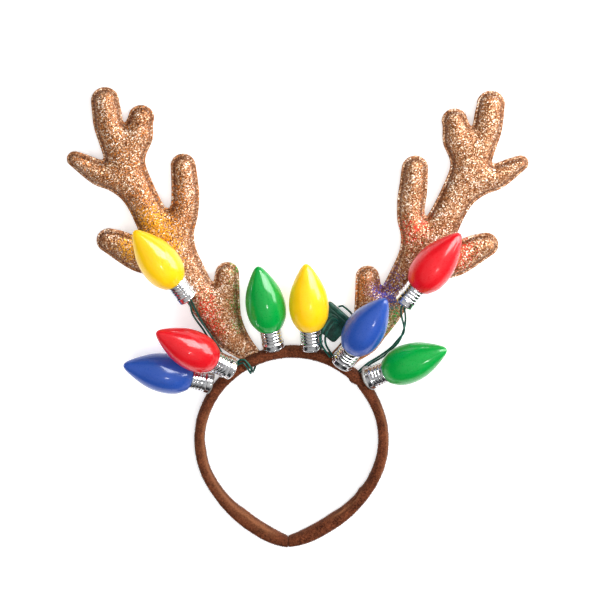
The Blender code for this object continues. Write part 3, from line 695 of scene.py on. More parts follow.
def plastic_material(name, colour, settings):
    """Clear coloured plastic: a painted glow of its own colour stands in for light through it, a little
    darker towards the tip, cloudy by a little, glossy outside.
    """
    made, tree, shader = new_material(name)
    where = place(tree)
    surface = node(tree, "UVMap", {}, uv_map="surface").outputs["UV"]
    along = node(tree, "SeparateXYZ", {"Vector": surface}).outputs["Y"]
    cloud = noise(tree, 60.0, 3.0, where, 0.6)
    deep = toned(colour, 0.92)
    mottled = ramp(tree, cloud, ((0.35, deep), (0.55, colour), (0.75, toned(colour, 1.04, 0.008))))
    tip = ranged(tree, along, 0.55, 1.0, 0.0, 0.22)
    colour_socket = mixed(tree, tip, mottled, deep)
    feed(tree, shader, {"Base Color": colour_socket})
    dust = noise(tree, 900.0, 2.0, where)
    low = settings.glass_roughness
    feed(tree, shader, {
        "Roughness": ranged(tree, dust, 0.3, 0.7, low * 0.75, low * 1.5), "Specular IOR Level": 0.16,
        "Subsurface Weight": 0.30, "Subsurface Radius": (1.0, 1.0, 1.0), "Subsurface Scale": 0.004,
        # Emission in the plastic's own colour: a painted glow standing in for light that passes through the
        # plastic
        "Coat Weight": 0.62, "Coat Roughness": 0.10, "Emission Color": (*colour, 1.0),
        "Emission Strength": 0.17, "IOR": 1.49,
    })
    bump(tree, shader, noise(tree, 230.0, 2.0, where), 0.00025, 0.05)
    return made


def chrome_material():
    """Bright plating over moulded plastic: faint smears, fine scratches and slight ripples."""
    made, tree, shader = new_material("bright_plating")
    where = place(tree)
    smear = noise(tree, 210.0, 3.0, where, 0.65)
    colour = ramp(tree, smear, ((0.3, (0.62, 0.63, 0.65)), (0.6, (0.84, 0.84, 0.85))))
    feed(tree, shader, {
        "Base Color": colour, "Metallic": 1.0, "Roughness": ranged(tree, smear, 0.3, 0.7, 0.12, 0.20),
    })
    bump(tree, shader, noise(tree, 200.0, 2.0, where), 0.0003, 0.02)
    return made


def glue_material():
    """Set glue: a clouded, greyish, glossy bead."""
    made, tree, shader = new_material("set_glue")
    cloud = noise(tree, 900.0, 3.0)
    colour = ramp(tree, cloud, ((0.35, (0.16, 0.15, 0.14)), (0.65, (0.42, 0.40, 0.37))))
    feed(tree, shader, {"Base Color": colour, "Roughness": 0.28, "Coat Weight": 0.4})
    bump(tree, shader, cloud, 0.0004, 0.5)
    return made


def box_material(colour):
    """Dark green moulded plastic: fine grain, dull handled patches and a few pale scuffs."""
    made, tree, shader = new_material("dark_green_moulding")
    where = place(tree)
    grain = noise(tree, 2200.0, 2.0, where)
    patches = noise(tree, 240.0, 3.0, where, 0.6)
    stops = ((0.34, toned(colour, 0.6)), (0.52, toned(colour, 1.0)), (0.72, toned(colour, 1.9, 0.012)))
    tone = ramp(tree, patches, stops)
    feed(tree, shader, {
        "Base Color": tone, "Roughness": ranged(tree, patches, 0.3, 0.7, 0.26, 0.46),
        "Specular IOR Level": 0.30,
    })
    bump(tree, shader, grain, 0.0002, 0.25)
    return made


def wire_material(colour):
    """Dark green wire cover: soft sheen, faint draw marks and paler worn stretches."""
    made, tree, shader = new_material("green_wire_cover")
    where = place(tree)
    worn = noise(tree, 260.0, 3.0, where)
    stops = ((0.32, toned(colour, 0.45)), (0.52, toned(colour, 1.0)), (0.72, toned(colour, 1.8)))
    tone = ramp(tree, worn, stops)
    feed(tree, shader, {
        "Base Color": tone, "Roughness": ranged(tree, worn, 0.3, 0.7, 0.26, 0.44),
        "Specular IOR Level": 0.25,
    })
    bump(tree, shader, noise(tree, 2400.0, 2.0, where), 0.0001, 0.3)
    return made


def floor_material():
    """Pale matt paper with a very faint grain."""
    made, tree, shader = new_material("pale_floor")
    grain = noise(tree, 90.0, 3.0)
    colour = ramp(tree, grain, ((0.3, (0.80, 0.80, 0.80)), (0.7, (0.84, 0.84, 0.84))))
    feed(tree, shader, {
        "Base Color": colour, "Roughness": 0.9, "Emission Color": (1.0, 1.0, 1.0, 1.0),
        "Emission Strength": 0.55,
    })
    return made


# Stage

def aim(target, towards, up, distance):
    """A place and turn that looks back at the target from a direction."""
    side = Vector(up).cross(Vector(towards)).normalized()
    turned = Matrix((side, Vector(towards).cross(side), Vector(towards))).transposed().to_4x4()
    turned.translation = Vector(target) + Vector(towards) * distance
    return turned


def add_lamp(name, towards, distance, size, power, matt, gloss):
    """A square lamp that shines at the headband, on matt surfaces, in gloss, or both."""
    light = bpy.data.lights.new(name, "AREA")
    light.size = size
    light.energy = power
    lamp = bpy.data.objects.new(name, light)
    bpy.context.scene.collection.objects.link(lamp)
    lamp.visible_diffuse = matt
    lamp.visible_glossy = gloss
    lamp.matrix_world = aim(view_target, Vector(towards).normalized(), (0.0, 1.0, 0.001), distance)


class HEADBAND_OT_stage(bpy.types.Operator):
    """Floor, lamps, surrounding light and the camera at the photograph's angle"""

    bl_idname = "headband.stage"
    bl_label = "Stage"

    def execute(self, context):
        settings = context.scene.headband_stage
        tilt = settings.camera_tilt
        camera = bpy.data.cameras.new("camera")
        camera.sensor_width = 36.0
        camera.lens = 36.0 * settings.camera_distance / 0.400
        holder = bpy.data.objects.new("camera", camera)
        context.scene.collection.objects.link(holder)
        holder.matrix_world = aim(
            view_target, (0.0, math.sin(tilt), math.cos(tilt)), (0.0, math.cos(tilt), -math.sin(tilt)),
            settings.camera_distance,
        )
        context.scene.camera = holder
        context.scene.view_settings.view_transform = "Standard"

        corners = np.array([(-2, -2, 0), (2, -2, 0), (2, 2, 0), (-2, 2, 0)], float)
        floor = put_mesh("floor", corners, [[0, 1, 2, 3]], floor_material(), outward=False)

        for name, towards, distance, size, share, matt, gloss in LAMPS:
            add_lamp(name, towards, distance, size, settings.lamp_power * share, matt, gloss)

        world = bpy.data.worlds.new("soft_room")
        context.scene.world = world
        world.use_nodes = True
        tree = world.node_tree
        heading = node(tree, "TexCoord", {}).outputs["Generated"]
        height = node(tree, "SeparateXYZ", {"Vector": heading}).outputs["Z"]
        tree.links.new(ramp(tree, height, ROOM_LIGHT), tree.nodes["Background"].inputs["Color"])
        tree.nodes["Background"].inputs["Strength"].default_value = 0.60
        return {"FINISHED"}


# Wires

class HEADBAND_OT_wires(bpy.types.Operator):
    """The green wire strands between the bulbs, the band and the battery box"""

    bl_idname = "headband.wires"
    bl_label = "Wires"

    def execute(self, context):
        cover = wire_material(context.scene.headband_wire.wire_colour)
        for name, route in WIRE_ROUTES.items():
            points = smooth_through(np.array(route) * route_unit, wire_step_share * wire_diameter)
            curve = bpy.data.curves.new(name.replace("wire", "strand"), "CURVE")
            curve.dimensions = "3D"
            curve.bevel_depth = wire_diameter / 2
            curve.bevel_resolution = 4
            curve.use_fill_caps = True
            spline = curve.splines.new("POLY")
            spline.points.add(len(points) - 1)
            spline.points.foreach_set("co", np.column_stack([points, np.ones(len(points))]).ravel())
            spline.use_smooth = True
            curve.materials.append(cover)
            strand = bpy.data.objects.new(curve.name, curve)
            context.scene.collection.objects.link(strand)
            on_body(strand, "wire", name)
        return {"FINISHED"}


# Headband

def band_mid_radius(turn):
    """Reach of the band's middle line from its centre, at a turn in degrees."""
    return (band_radius - band_thickness / 2) * read_table(BAND_SECTIONS, 1, np.abs(turn))


def band_section(turn):
    """Middle radius, half thickness along the radius, and width of the band at a turn."""
    middle = band_mid_radius(turn)
    slope = band_mid_radius(np.abs(turn) + 0.5) - band_mid_radius(np.abs(turn) - 0.5)
    slope = slope / math.radians(1.0)
    stretch = np.sqrt(1 + (slope / middle) ** 2)
    thickness = band_thickness * read_table(BAND_SECTIONS, 2, np.abs(turn)) * stretch
    width = band_width * read_table(BAND_SECTIONS, 3, np.abs(turn))
    return middle, thickness / 2, width


def band_place(turn, radius):
    """Plan position at a turn and a reach. Both ends of the band drift to one side."""
    angle = np.radians(turn)
    beyond = (np.abs(turn) - band_drift_start_turn) / (180.0 - band_drift_start_turn)
    drift = band_end_drift * np.clip(beyond, 0.0, 1.0) ** 2
    return band_centre_x + radius * np.sin(angle) + drift, band_centre_y + radius * np.cos(angle)


def band_ends():
    """The turn where the sleeve ends, and how many degrees its rounding takes."""
    reach = band_mid_radius(180.0)
    return 180.0 - math.degrees(sleeve_end_gap / 2 / reach), math.degrees(band_end_rounding / reach)


def band_surface(turn, around, lump_height):
    """A point of the sleeve at each turn along the band and each angle around its section.

    The section is a squarish oval, cos and sin raised to a power under one. Its middle line's reach, its
    thickness and its width are read from the table. Soft noise lifts it in lumps, narrow bells crease its
    inner edge, a slanting groove folds it on the lower right, and near each end it shrinks as a quarter
    round and closes.
    """
    end_turn, cap_turn = band_ends()
    power = 2 / section_squareness
    across = np.sign(np.cos(around)) * np.abs(np.cos(around)) ** power
    upward = np.sign(np.sin(around)) * np.abs(np.sin(around)) ** power
    middle, half, width = band_section(turn)
    left_over = np.clip((end_turn - np.abs(turn)) / cap_turn, 0.0, 1.0)
    cap = np.sqrt(np.maximum(1 - (1 - left_over) ** 2, 0.0)) * (1 - band_end_share) + band_end_share
    lumps = soft_noise(np.radians(turn) * 3.0, np.cos(around), np.sin(around), seed=3, low=1.0, high=3.2)
    ripple = soft_noise(np.radians(turn) * 14.0, np.cos(around), np.sin(around), seed=4, low=0.8, high=2.2)
    reach = half * cap + lump_height * (0.75 * lumps + 0.25 * ripple)
    radius = middle + reach * across
    for where, depth, spread in BAND_CREASES:
        bell = np.exp(-(((turn - where) / spread) ** 2))
        radius = radius - depth * bell * np.clip(0.2 - across, 0.0, 1.0)
    along_fold = np.clip((turn - fold_first_turn) / fold_run, 0.0, 1.0)
    from_line = np.mod(around, 2 * math.pi) - np.radians(fold_first_angle - fold_slant * along_fold)
    groove = np.exp(-((from_line / fold_width) ** 2)) * np.sin(math.pi * along_fold) ** 0.6
    radius = radius - fold_edge_depth * groove * across
    lift = lump_height * 0.6 * lumps - fold_top_depth * groove
    height = (width / 2) * (1 + cap * upward) + np.maximum(upward, 0.0) * lift
    x, y = band_place(turn, radius)
    return np.stack(np.broadcast_arrays(x, y, np.maximum(height, 0.0)), axis=-1)


def painted_sheen_share(turn, around):
    """How much painted sheen the pile takes: bells round the section within smooth windows along the band."""
    total = 0.0
    angle = np.degrees(np.mod(around, 2 * math.pi))
    for first, last, middle, spread, strength in PAINTED_SHEEN_STRIPS:
        window = np.clip((turn - first) / 9.0, 0.0, 1.0) * np.clip((last - turn) / 9.0, 0.0, 1.0)
        total = total + strength * window * np.exp(-(((angle - middle) / spread) ** 2))
    return np.clip(total, 0.0, 1.0)


def fibre_spikes(roots, tips, width):
    """Closed three-sided spikes: a small triangle at each root and one point at each tip."""
    run = tips - roots
    side = np.cross(run, np.array([0.3, 0.5, 0.8]))
    side = side / np.linalg.norm(side, axis=1)[:, None]
    other = np.cross(run, side)
    other = other / np.linalg.norm(other, axis=1)[:, None]
    turns = np.radians([0.0, 120.0, 240.0])
    ring = roots[:, None, :] + width / 2 * (
        np.cos(turns)[None, :, None] * side[:, None, :] + np.sin(turns)[None, :, None] * other[:, None, :]
    )
    points = np.concatenate([ring, tips[:, None, :]], axis=1)
    pattern = np.array([(0, 2, 1), (0, 1, 3), (1, 2, 3), (2, 0, 3)])
    faces = (np.arange(len(roots)) * 4)[:, None, None] + pattern
    return points.reshape(-1, 3), faces.reshape(-1, 3)


class HEADBAND_OT_band(bpy.types.Operator):
    """The plush sleeve round the band, and its short pile"""

    bl_idname = "headband.band"
    bl_label = "Plush band"

    def execute(self, context):
        settings = context.scene.headband_plush
        end_turn, cap_turn = band_ends()
        cap = end_turn - cap_turn * (1 - np.sin(np.linspace(0, math.pi / 2, 9)))
        half_turns = np.concatenate([np.linspace(0, end_turn - cap_turn, 300)[1:-1], cap])
        turns = np.concatenate([-half_turns[::-1], [0.0], half_turns])
        around = np.linspace(0, 2 * math.pi, 44, endpoint=False)
        points = band_surface(turns[:, None], around[None, :], settings.lump_height)
        sleeve = put_mesh("band_sleeve", points, capped_tube(*points.shape[:2]), plush_material(settings))
        # Share of painted sheen at each point of the sleeve
        give_share(sleeve.data, "painted_sheen", painted_sheen_share(turns[:, None], around[None, :]))
        on_body(sleeve, "plush", "headband")

        random = np.random.default_rng(11)
        count = settings.pile_count
        turn = random.uniform(-end_turn + 0.3, end_turn - 0.3, count)
        angle = random.uniform(0, 2 * math.pi, count)
        roots = band_surface(turn, angle, settings.lump_height)
        along = band_surface(turn + 0.05, angle, settings.lump_height) - roots
        over = band_surface(turn, angle + 0.02, settings.lump_height) - roots
        out = np.cross(over, along)
        out = out / np.linalg.norm(out, axis=1)[:, None]
        middle = np.stack(band_place(turn, band_mid_radius(turn)), axis=-1)
        outside = ((roots[:, :2] - middle) * out[:, :2]).sum(1) + (roots[:, 2] - band_width / 2) * out[:, 2]
        out = out * np.where(outside < 0, -1.0, 1.0)[:, None]
        lean = random.normal(0.0, pile_lean, (count, 3))
        way = out + lean
        way = way / np.linalg.norm(way, axis=1)[:, None]
        length = settings.pile_length * random.uniform(0.45, 1.0, count)
        tips = roots + way * length[:, None]
        tips[:, 2] = np.maximum(tips[:, 2], 0.0)
        roots = roots - out * pile_root_depth
        roots[:, 2] = np.maximum(roots[:, 2], 0.00005)
        spikes, faces = fibre_spikes(roots, tips, pile_width)
        brown_pile = plush_material(settings, "brown_pile", 1.2)
        pile = put_mesh("band_pile", spikes, faces, brown_pile, outward=False)
        # Share of painted sheen at each fibre
        give_share(pile.data, "painted_sheen", np.repeat(painted_sheen_share(turn, angle), 4))
        on_body(pile, "plush")
        return {"FINISHED"}


# Antlers

def antler_frame(name):
    """Root and outward and upward unit vectors of an antler in plan."""
    side, turn, lift, tilt, _, _, _ = ANTLERS[name]
    x, y = band_place(side * turn, band_radius)
    lean = math.radians(tilt)
    outward = np.array([side * math.cos(lean), -math.sin(lean)])
    upward = np.array([side * math.sin(lean), math.cos(lean)])
    return np.array([x, y + lift]), outward, upward


def antler_outline(name, spacing):
    """The antler's outline in plan, evenly spaced on a smooth closed curve, counter-clockwise."""
    side, _, _, _, outer_turn, inner_turn, stretch = ANTLERS[name]
    root, outward, upward = antler_frame(name)
    points = []
    height = antler_height * stretch
    for row, (out_share, up_share, *arc) in enumerate(ANTLER_OUTLINE):
        more_out, more_up, more_radius = ANTLER_NUDGES[name].get(row, (0.0, 0.0, 0.0))
        out, up = antler_spread * (out_share + more_out), height * (up_share + more_up)
        centre = root + outward * out + upward * up
        if not arc:
            points.append(centre)
            continue
        radius_share, first, last = arc
        angle = np.radians(np.linspace(first, last, 8))[:, None]
        reach = antler_tine_radius * (radius_share + more_radius)
        points.extend(centre + reach * (outward * np.cos(angle) + upward * np.sin(angle)))
    foot_turns = side * np.linspace(inner_turn, outer_turn, 5)
    foot = np.stack(band_place(foot_turns, band_radius + seat_gap), axis=-1)
    start = points[-1]
    control = start + upward * antler_foot_pull * ((foot[0] - start) @ upward)
    t = (np.arange(1, 6) / 6)[:, None]
    points.extend(start * (1 - t) ** 2 + control * 2 * t * (1 - t) + foot[0] * t**2)
    outline = smooth_through(np.array(points + list(foot)), spacing, closed=True)
    return outline[::-1] if side < 0 else outline


def edge_reading(points, outline):
    """Distance from plan points to the nearest edge, and how far along the outline that place is."""
    start, end = outline, np.roll(outline, -1, axis=0)
    run = end - start
    lengths = np.linalg.norm(run, axis=1)
    travelled = np.concatenate([[0.0], np.cumsum(lengths)])[:-1]
    distances, places = [], []
    for block in np.array_split(points, max(1, len(points) // 2000)):
        offset = block[:, None, :] - start
        t = np.clip((offset * run).sum(-1) / (run**2).sum(-1), 0.0, 1.0)
        far = np.linalg.norm(offset - t[..., None] * run, axis=-1)
        nearest = far.argmin(axis=1)
        rows = np.arange(len(block))
        distances.append(far[rows, nearest])
        places.append(travelled[nearest] + t[rows, nearest] * lengths[nearest])
    return np.concatenate(distances), np.concatenate(places)


def inside_outline(points, outline):
    """True for the plan points inside an outline, by counting the edges to their right."""
    start, end = outline, np.roll(outline, -1, axis=0)
    x, y = points[:, 0][:, None], points[:, 1][:, None]
    spans = (start[:, 1] > y) != (end[:, 1] > y)
    rise = np.where(np.abs(end[:, 1] - start[:, 1]) < 1e-12, 1e-12, end[:, 1] - start[:, 1])
    crossing = start[:, 0] + (y - start[:, 1]) / rise * (end[:, 0] - start[:, 0])
    return (spans & (x < crossing)).sum(axis=1) % 2 == 1


def inset_line(outline, depth):
    """The outline moved inward by a depth, and which of its points stay clear of the other edges."""
    before, after = np.roll(outline, 1, axis=0), np.roll(outline, -1, axis=0)
    along = (after - before) / np.linalg.norm(after - before, axis=1)[:, None]
    inner = outline + depth * np.stack([-along[:, 1], along[:, 0]], axis=-1)
    return inner, inside_outline(inner, outline) & (edge_reading(inner, outline)[0] > 0.93 * depth), along


def antler_half_thickness(points, distance):
    """Half thickness at plan points: a flat flange, then a quarter round, thinner towards the foot."""
    share = np.clip((distance - antler_flange_width) / antler_puff_reach, 0.0, 1.0)
    round_share = np.sqrt(1 - (1 - share) ** 2)
    reach = np.hypot(points[:, 0] - band_centre_x, points[:, 1] - band_centre_y)
    foot = np.clip((reach - band_radius) / antler_foot_taper, 0.0, 1.0)
    return antler_flange_thickness / 2 + antler_puff * round_share * foot**2 * (3 - 2 * foot)


def stuffed_mesh(outline, start_share):
    """Points and triangles of a stuffed shape, and which points are on its flat flange.

    Rings of points follow the outline inward and a staggered lattice fills the middle. Triangles join them
    front and back, half the thickness above and below the middle height, with a narrow wall at the rim.
    """
    rings = [outline]
    for depth, every in ((0.0009, 1), (0.0018, 1), (0.0028, 1), (0.0042, 2)):
        inner, clear, _ = inset_line(outline, depth)
        rings.append(inner[clear][::every])
    low, high = outline.min(axis=0), outline.max(axis=0)
    pitch = 0.0022
    rows = np.arange(low[1], high[1], pitch * math.sqrt(3) / 2)
    x, y = np.meshgrid(np.arange(low[0], high[0] + pitch, pitch), rows)
    x = x + np.where(np.arange(len(rows)) % 2, pitch / 2, 0.0)[:, None]
    lattice = np.stack([x.ravel(), y.ravel()], axis=-1)
    lattice = lattice[inside_outline(lattice, outline)]
    lattice = lattice[edge_reading(lattice, outline)[0] > 0.0058]
    flat = np.concatenate(rings + [lattice])
    count = len(outline)
    edges = [(index, (index + 1) % count) for index in range(count)]
    flat, _, triangles, _, _, _ = delaunay_2d_cdt([Vector(point) for point in flat], edges, [], 1, 1e-7)
    flat = np.array([tuple(point) for point in flat])
    distance = edge_reading(flat, outline)[0]
    half = antler_half_thickness(flat, distance)
    flange = antler_flange_thickness / 2
    half = flange + (half - flange) * start_share
    size = len(flat)
    front = np.column_stack([flat, antler_mid_height + half])
    back = np.column_stack([flat, antler_mid_height - half])
    faces = np.array(triangles)
    edges = np.array(edges)
    walls = np.column_stack([edges, edges[:, ::-1] + size])
    every_face = faces.tolist() + (faces[:, ::-1] + size).tolist() + walls.tolist()
    on_flange = np.flatnonzero(np.tile(distance < antler_flange_width + 0.0001, 2))
    return np.concatenate([front, back]), every_face, on_flange


def swell(piece, pinned, pressure, most):
    """Blow the piece up with Cloth, then hold every point within reach of where it started."""
    scene = bpy.context.scene
    group = piece.vertex_groups.new(name="flange")
    group.add(pinned.tolist(), 1.0, "REPLACE")
    before = point_array(piece.data)
    stuffing = piece.modifiers.new("stuffing", "CLOTH")
    cloth = stuffing.settings
    cloth.quality = 6
    cloth.mass = 0.15
    cloth.tension_stiffness = 12.0
    cloth.compression_stiffness = 12.0
    cloth.shear_stiffness = 6.0
    cloth.bending_stiffness = 0.4
    cloth.vertex_group_mass = "flange"
    cloth.pin_stiffness = 1.0
    cloth.use_pressure = True
    cloth.uniform_pressure_force = pressure
    cloth.effector_weights.gravity = 0.0
    stuffing.collision_settings.use_collision = False
    for number in range(1, 21):
        scene.frame_set(number)
    shaped = piece.evaluated_get(bpy.context.evaluated_depsgraph_get())
    moved = point_array(shaped.data)
    piece.modifiers.remove(stuffing)
    scene.frame_set(1)
    if not np.isfinite(moved).all():
        raise RuntimeError("the stuffing of " + piece.name + " broke up")
    move = moved - before
    reach = np.linalg.norm(move, axis=1)[:, None]
    set_points(piece.data, before + move * np.minimum(1.0, most / np.maximum(reach, 1e-9)))
    return float(np.median(reach)), float(reach.max())


def dress_surface(piece, outline, settings, seed):
    """Pull the cloth in at each stitch, crease it from the seam and give it soft lumps.

    Height falls by a bell across the stitch line times one plus a cosine along it, and by slanting waves
    that fade with the distance from the seam. Soft noise over the plan lifts the middle. The share of seam
    that the material darkens, for the thread's own colour and painted shade of the puckers, is a bell across
    the stitch line times a dot at each stitch.
    """
    mesh = piece.data
    points = point_array(mesh)
    distance, travelled = edge_reading(points[:, :2], outline)
    away = points[:, 2] - antler_mid_height
    way = np.sign(away)
    groove = np.exp(-(((distance - seam_groove_distance) / seam_groove_width) ** 2))
    beat = 0.55 + 0.45 * np.cos(2 * math.pi * travelled / settings.stitch_pitch)
    pull = settings.pucker_depth * groove * beat
    creases = soft_noise(travelled / 0.0034, distance / 0.009, seed=seed, low=0.6, high=1.5)
    fade = np.clip((distance - 0.0016) / 0.0015, 0.0, 1.0) * np.exp(-(distance - 0.0016) / 0.0036)
    plan = points[:, :2] / 0.011
    lumps = soft_noise(plan[:, 0], plan[:, 1], way * 2.0, seed=seed + 1, low=0.5, high=1.3)
    middle = np.clip((distance - 0.003) / 0.004, 0.0, 1.0)
    lift = 0.00050 * creases * fade + 0.00042 * lumps * middle - pull
    points[:, 2] = points[:, 2] + way * lift
    set_points(mesh, points)
    # Stitch-line share that the material darkens: thread colour and painted shade of the puckers
    dots = (0.5 + 0.5 * np.cos(2 * math.pi * travelled / settings.stitch_pitch)) ** 1.5
    line = np.exp(-(((distance - stitch_shade_distance) / stitch_shade_width) ** 2))
    give_share(mesh, "seam", line * (0.25 + 0.75 * dots))


def paint_bulb_reflections(piece, antler):
    """Store the painted reflection of nearby bulbs in the glitter: its colour, and how much of it, at every
    point.
    """
    mesh = piece.data
    points = point_array(mesh)
    colour = np.zeros((len(points), 3))
    total = np.zeros(len(points))
    for bulb_reflection, where_on, centre, reach, strength in PAINTED_BULB_REFLECTIONS:
        if where_on != antler:
            continue
        away = np.linalg.norm(points[:, :2] - centre, axis=1)
        amount = strength * np.exp(-((away / reach) ** 2)) * (points[:, 2] > antler_mid_height)
        colour += amount[:, None] * np.array(PAINTED_BULB_COLOURS[bulb_reflection])
        total += amount
    colour = colour / np.maximum(total, 1e-6)[:, None]
    layer = mesh.color_attributes.new("bulb_reflection", "FLOAT_COLOR", "POINT")
    layer.data.foreach_set("color", np.column_stack([colour, np.clip(total, 0.0, 0.95)]).ravel())


def stitch_threads(outline, settings):
    """Points and faces of a row of stitches on the front and the back of a flange.

    Along a stitch the thread rises by a sine from the cloth and dips back into it, and around it the
    section is a small circle, narrower at both ends.
    """
    lengths = np.linalg.norm(np.roll(outline, -1, axis=0) - outline, axis=1)
    travelled = np.concatenate([[0.0], np.cumsum(lengths)])
    count = int(travelled[-1] / settings.stitch_pitch)
    rows, sides = 7, 6
    share = np.linspace(-0.5, 0.5, rows)
    starts = (np.arange(count) + 0.5) * settings.stitch_pitch
    closed = np.concatenate([outline, outline[:1]])
    inner, clear, _ = inset_line(outline, antler_flange_width + 0.0001)
    inner_closed = np.concatenate([inner, inner[:1]])
    clear_closed = np.concatenate([clear, clear[:1]]).astype(float)
    kept = np.interp(starts, travelled, clear_closed) > 0.99
    reach = np.hypot(np.interp(starts, travelled, closed[:, 0]) - band_centre_x,
                     np.interp(starts, travelled, closed[:, 1]) - band_centre_y)
    kept &= reach > band_radius + 0.0025
    starts = starts[kept]
    places = np.mod(starts[:, None] + share * settings.stitch_length, travelled[-1])
    x = np.interp(places, travelled, inner_closed[:, 0])
    y = np.interp(places, travelled, inner_closed[:, 1])
    run = np.stack([x[:, -1] - x[:, 0], y[:, -1] - y[:, 0]], axis=-1)
    run = run / np.maximum(np.linalg.norm(run, axis=1), 1e-9)[:, None]
    side = np.stack([-run[:, 1], run[:, 0]], axis=-1)
    arch = np.cos(math.pi * share)
    radius = settings.thread_diameter / 2 * (0.55 + 0.45 * arch)
    turn = np.linspace(0, 2 * math.pi, sides, endpoint=False)
    both = []
    for way in (1.0, -1.0):
        height = antler_mid_height + way * (antler_flange_thickness / 2 - 0.00012 + 0.00028 * arch)
        wide = radius[None, :, None] * np.cos(turn)[None, None, :]
        high = height[None, :, None] + radius[None, :, None] * np.sin(turn)[None, None, :]
        px = x[:, :, None] + side[:, 0][:, None, None] * wide
        py = y[:, :, None] + side[:, 1][:, None, None] * wide
        both.append(np.stack(np.broadcast_arrays(px, py, high), axis=-1))
    points = np.concatenate(both)
    faces = grid_faces(rows, sides)
    offsets = np.arange(len(points)) * rows * sides
    quads = (offsets[:, None, None] + faces).reshape(-1, 4).tolist()
    ends = offsets[:, None, None] + np.array([range(sides)[::-1], range((rows - 1) * sides, rows * sides)])
    return points.reshape(-1, 3), quads + ends.reshape(-1, sides).tolist()


class HEADBAND_OT_antlers(bpy.types.Operator):
    """The stuffed glitter antlers, blown up from flat cloth and stitched round their edge"""

    bl_idname = "headband.antlers"
    bl_label = "Antlers"

    def execute(self, context):
        settings = context.scene.headband_antler
        glitter, thread = glitter_material(settings), thread_material()
        for seed, antler in enumerate(ANTLERS):
            outline = antler_outline(antler, 0.0016)
            share = settings.start_share
            points, faces, pinned = stuffed_mesh(outline, share)
            piece = put_mesh(antler + "_cloth", points, faces, glitter)
            report = swell(piece, pinned, settings.pressure, settings.most_swell)
            print(antler, "swell median and most:", report)
            finer = piece.modifiers.new("finer", "SUBSURF")
            finer.levels = finer.render_levels = 1
            shaped = piece.evaluated_get(context.evaluated_depsgraph_get())
            fine = bpy.data.meshes.new_from_object(shaped)
            piece.modifiers.clear()
            piece.vertex_groups.clear()
            piece.data = fine
            dress_surface(piece, outline, settings, 20 + 7 * seed)
            # Painted reflection of the bulbs' colours on the glitter
            paint_bulb_reflections(piece, antler)
            on_body(piece, "glitter_fabric", antler)
            stitches = put_mesh(antler + "_stitches", *stitch_threads(outline, settings), thread)
            on_body(stitches, "glitter_fabric")
        return {"FINISHED"}


# Bulbs

def bulb_seat(name):
    """Foot and axis of a bulb, from the middles of its base and its glass in the solids."""
    base = point_array(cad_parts["base_" + name].data)
    glass = point_array(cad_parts["glass_" + name].data)
    axis = glass.mean(axis=0) - base.mean(axis=0)
    axis = axis / np.linalg.norm(axis)
    middle = base.mean(axis=0)
    return middle + axis * ((base - middle) @ axis).min(), axis


def turned_points(foot, axis, along, radius):
    """A grid of points turned about an axis: at each row a distance along it, at each column a radius.

    along and radius are arrays of rows by columns. The columns go once round.
    """
    side = np.cross(axis, (0.0, 0.0, 1.0))
    side = side / np.linalg.norm(side)
    up = np.cross(side, axis)
    columns = radius.shape[1]
    turn = np.linspace(0, 2 * math.pi, columns, endpoint=False)
    ring = np.cos(turn)[:, None] * side + np.sin(turn)[:, None] * up
    return foot + along[..., None] * axis + radius[..., None] * ring


def closed_ends(points, first, last):
    """Faces of a turned grid with a point added at each end, and all its points."""
    rows, columns = points.shape[:2]
    faces = grid_faces(rows, columns).tolist()
    around = np.arange(columns)
    after = (around + 1) % columns
    low, high = rows * columns, rows * columns + 1
    top = (rows - 1) * columns
    faces += np.stack([np.full(columns, low), after, around], axis=-1).tolist()
    faces += np.stack([np.full(columns, high), top + around, top + after], axis=-1).tolist()
    return np.concatenate([points.reshape(-1, 3), [first, last]]), faces


class HEADBAND_OT_bulbs(bpy.types.Operator):
    """The coloured plastic bulbs"""

    bl_idname = "headband.bulbs"
    bl_label = "Bulbs"

    def execute(self, context):
        settings = context.scene.headband_bulb
        plastics = {
            name: plastic_material(name + "_plastic", getattr(settings, name), settings)
            for name in ("red", "green", "blue", "yellow")
        }
        rows = np.array(GLASS_PROFILE + ((1.0, 0.0), (0.965, -0.20)))
        route = smooth_through(rows * (bulb_glass_length, bulb_glass_radius), 0.0004)
        route = route[: int(np.argmax(route[:, 0])) + 1]
        route = route[route[:, 1] > 0.00008][::2]
        lip = np.array([(0.0, 0.90), (0.004, 0.97)]) * (1.0, route[0, 1])
        route = np.concatenate([lip, route[1:]])
        columns = 56
        around = np.linspace(0, 1, columns, endpoint=False)
        for name in BULBS:
            foot, axis = bulb_seat(name)
            start = foot + axis * (bulb_base_length + seat_gap)
            along = np.repeat(route[:, :1], columns, axis=1)
            radius = np.repeat(route[:, 1:], columns, axis=1)
            grid = turned_points(start, axis, along, radius)
            points, faces = closed_ends(grid, start, start + axis * bulb_glass_length)
            colour = name.split("_")[0]
            glass = put_mesh("bulb_" + name, points, faces, plastics[colour])
            give_uv(glass.data, around, route[:, 0] / bulb_glass_length, len(route), columns)
            on_body(glass, colour + "_bulb", "glass_" + name)
        return {"FINISHED"}


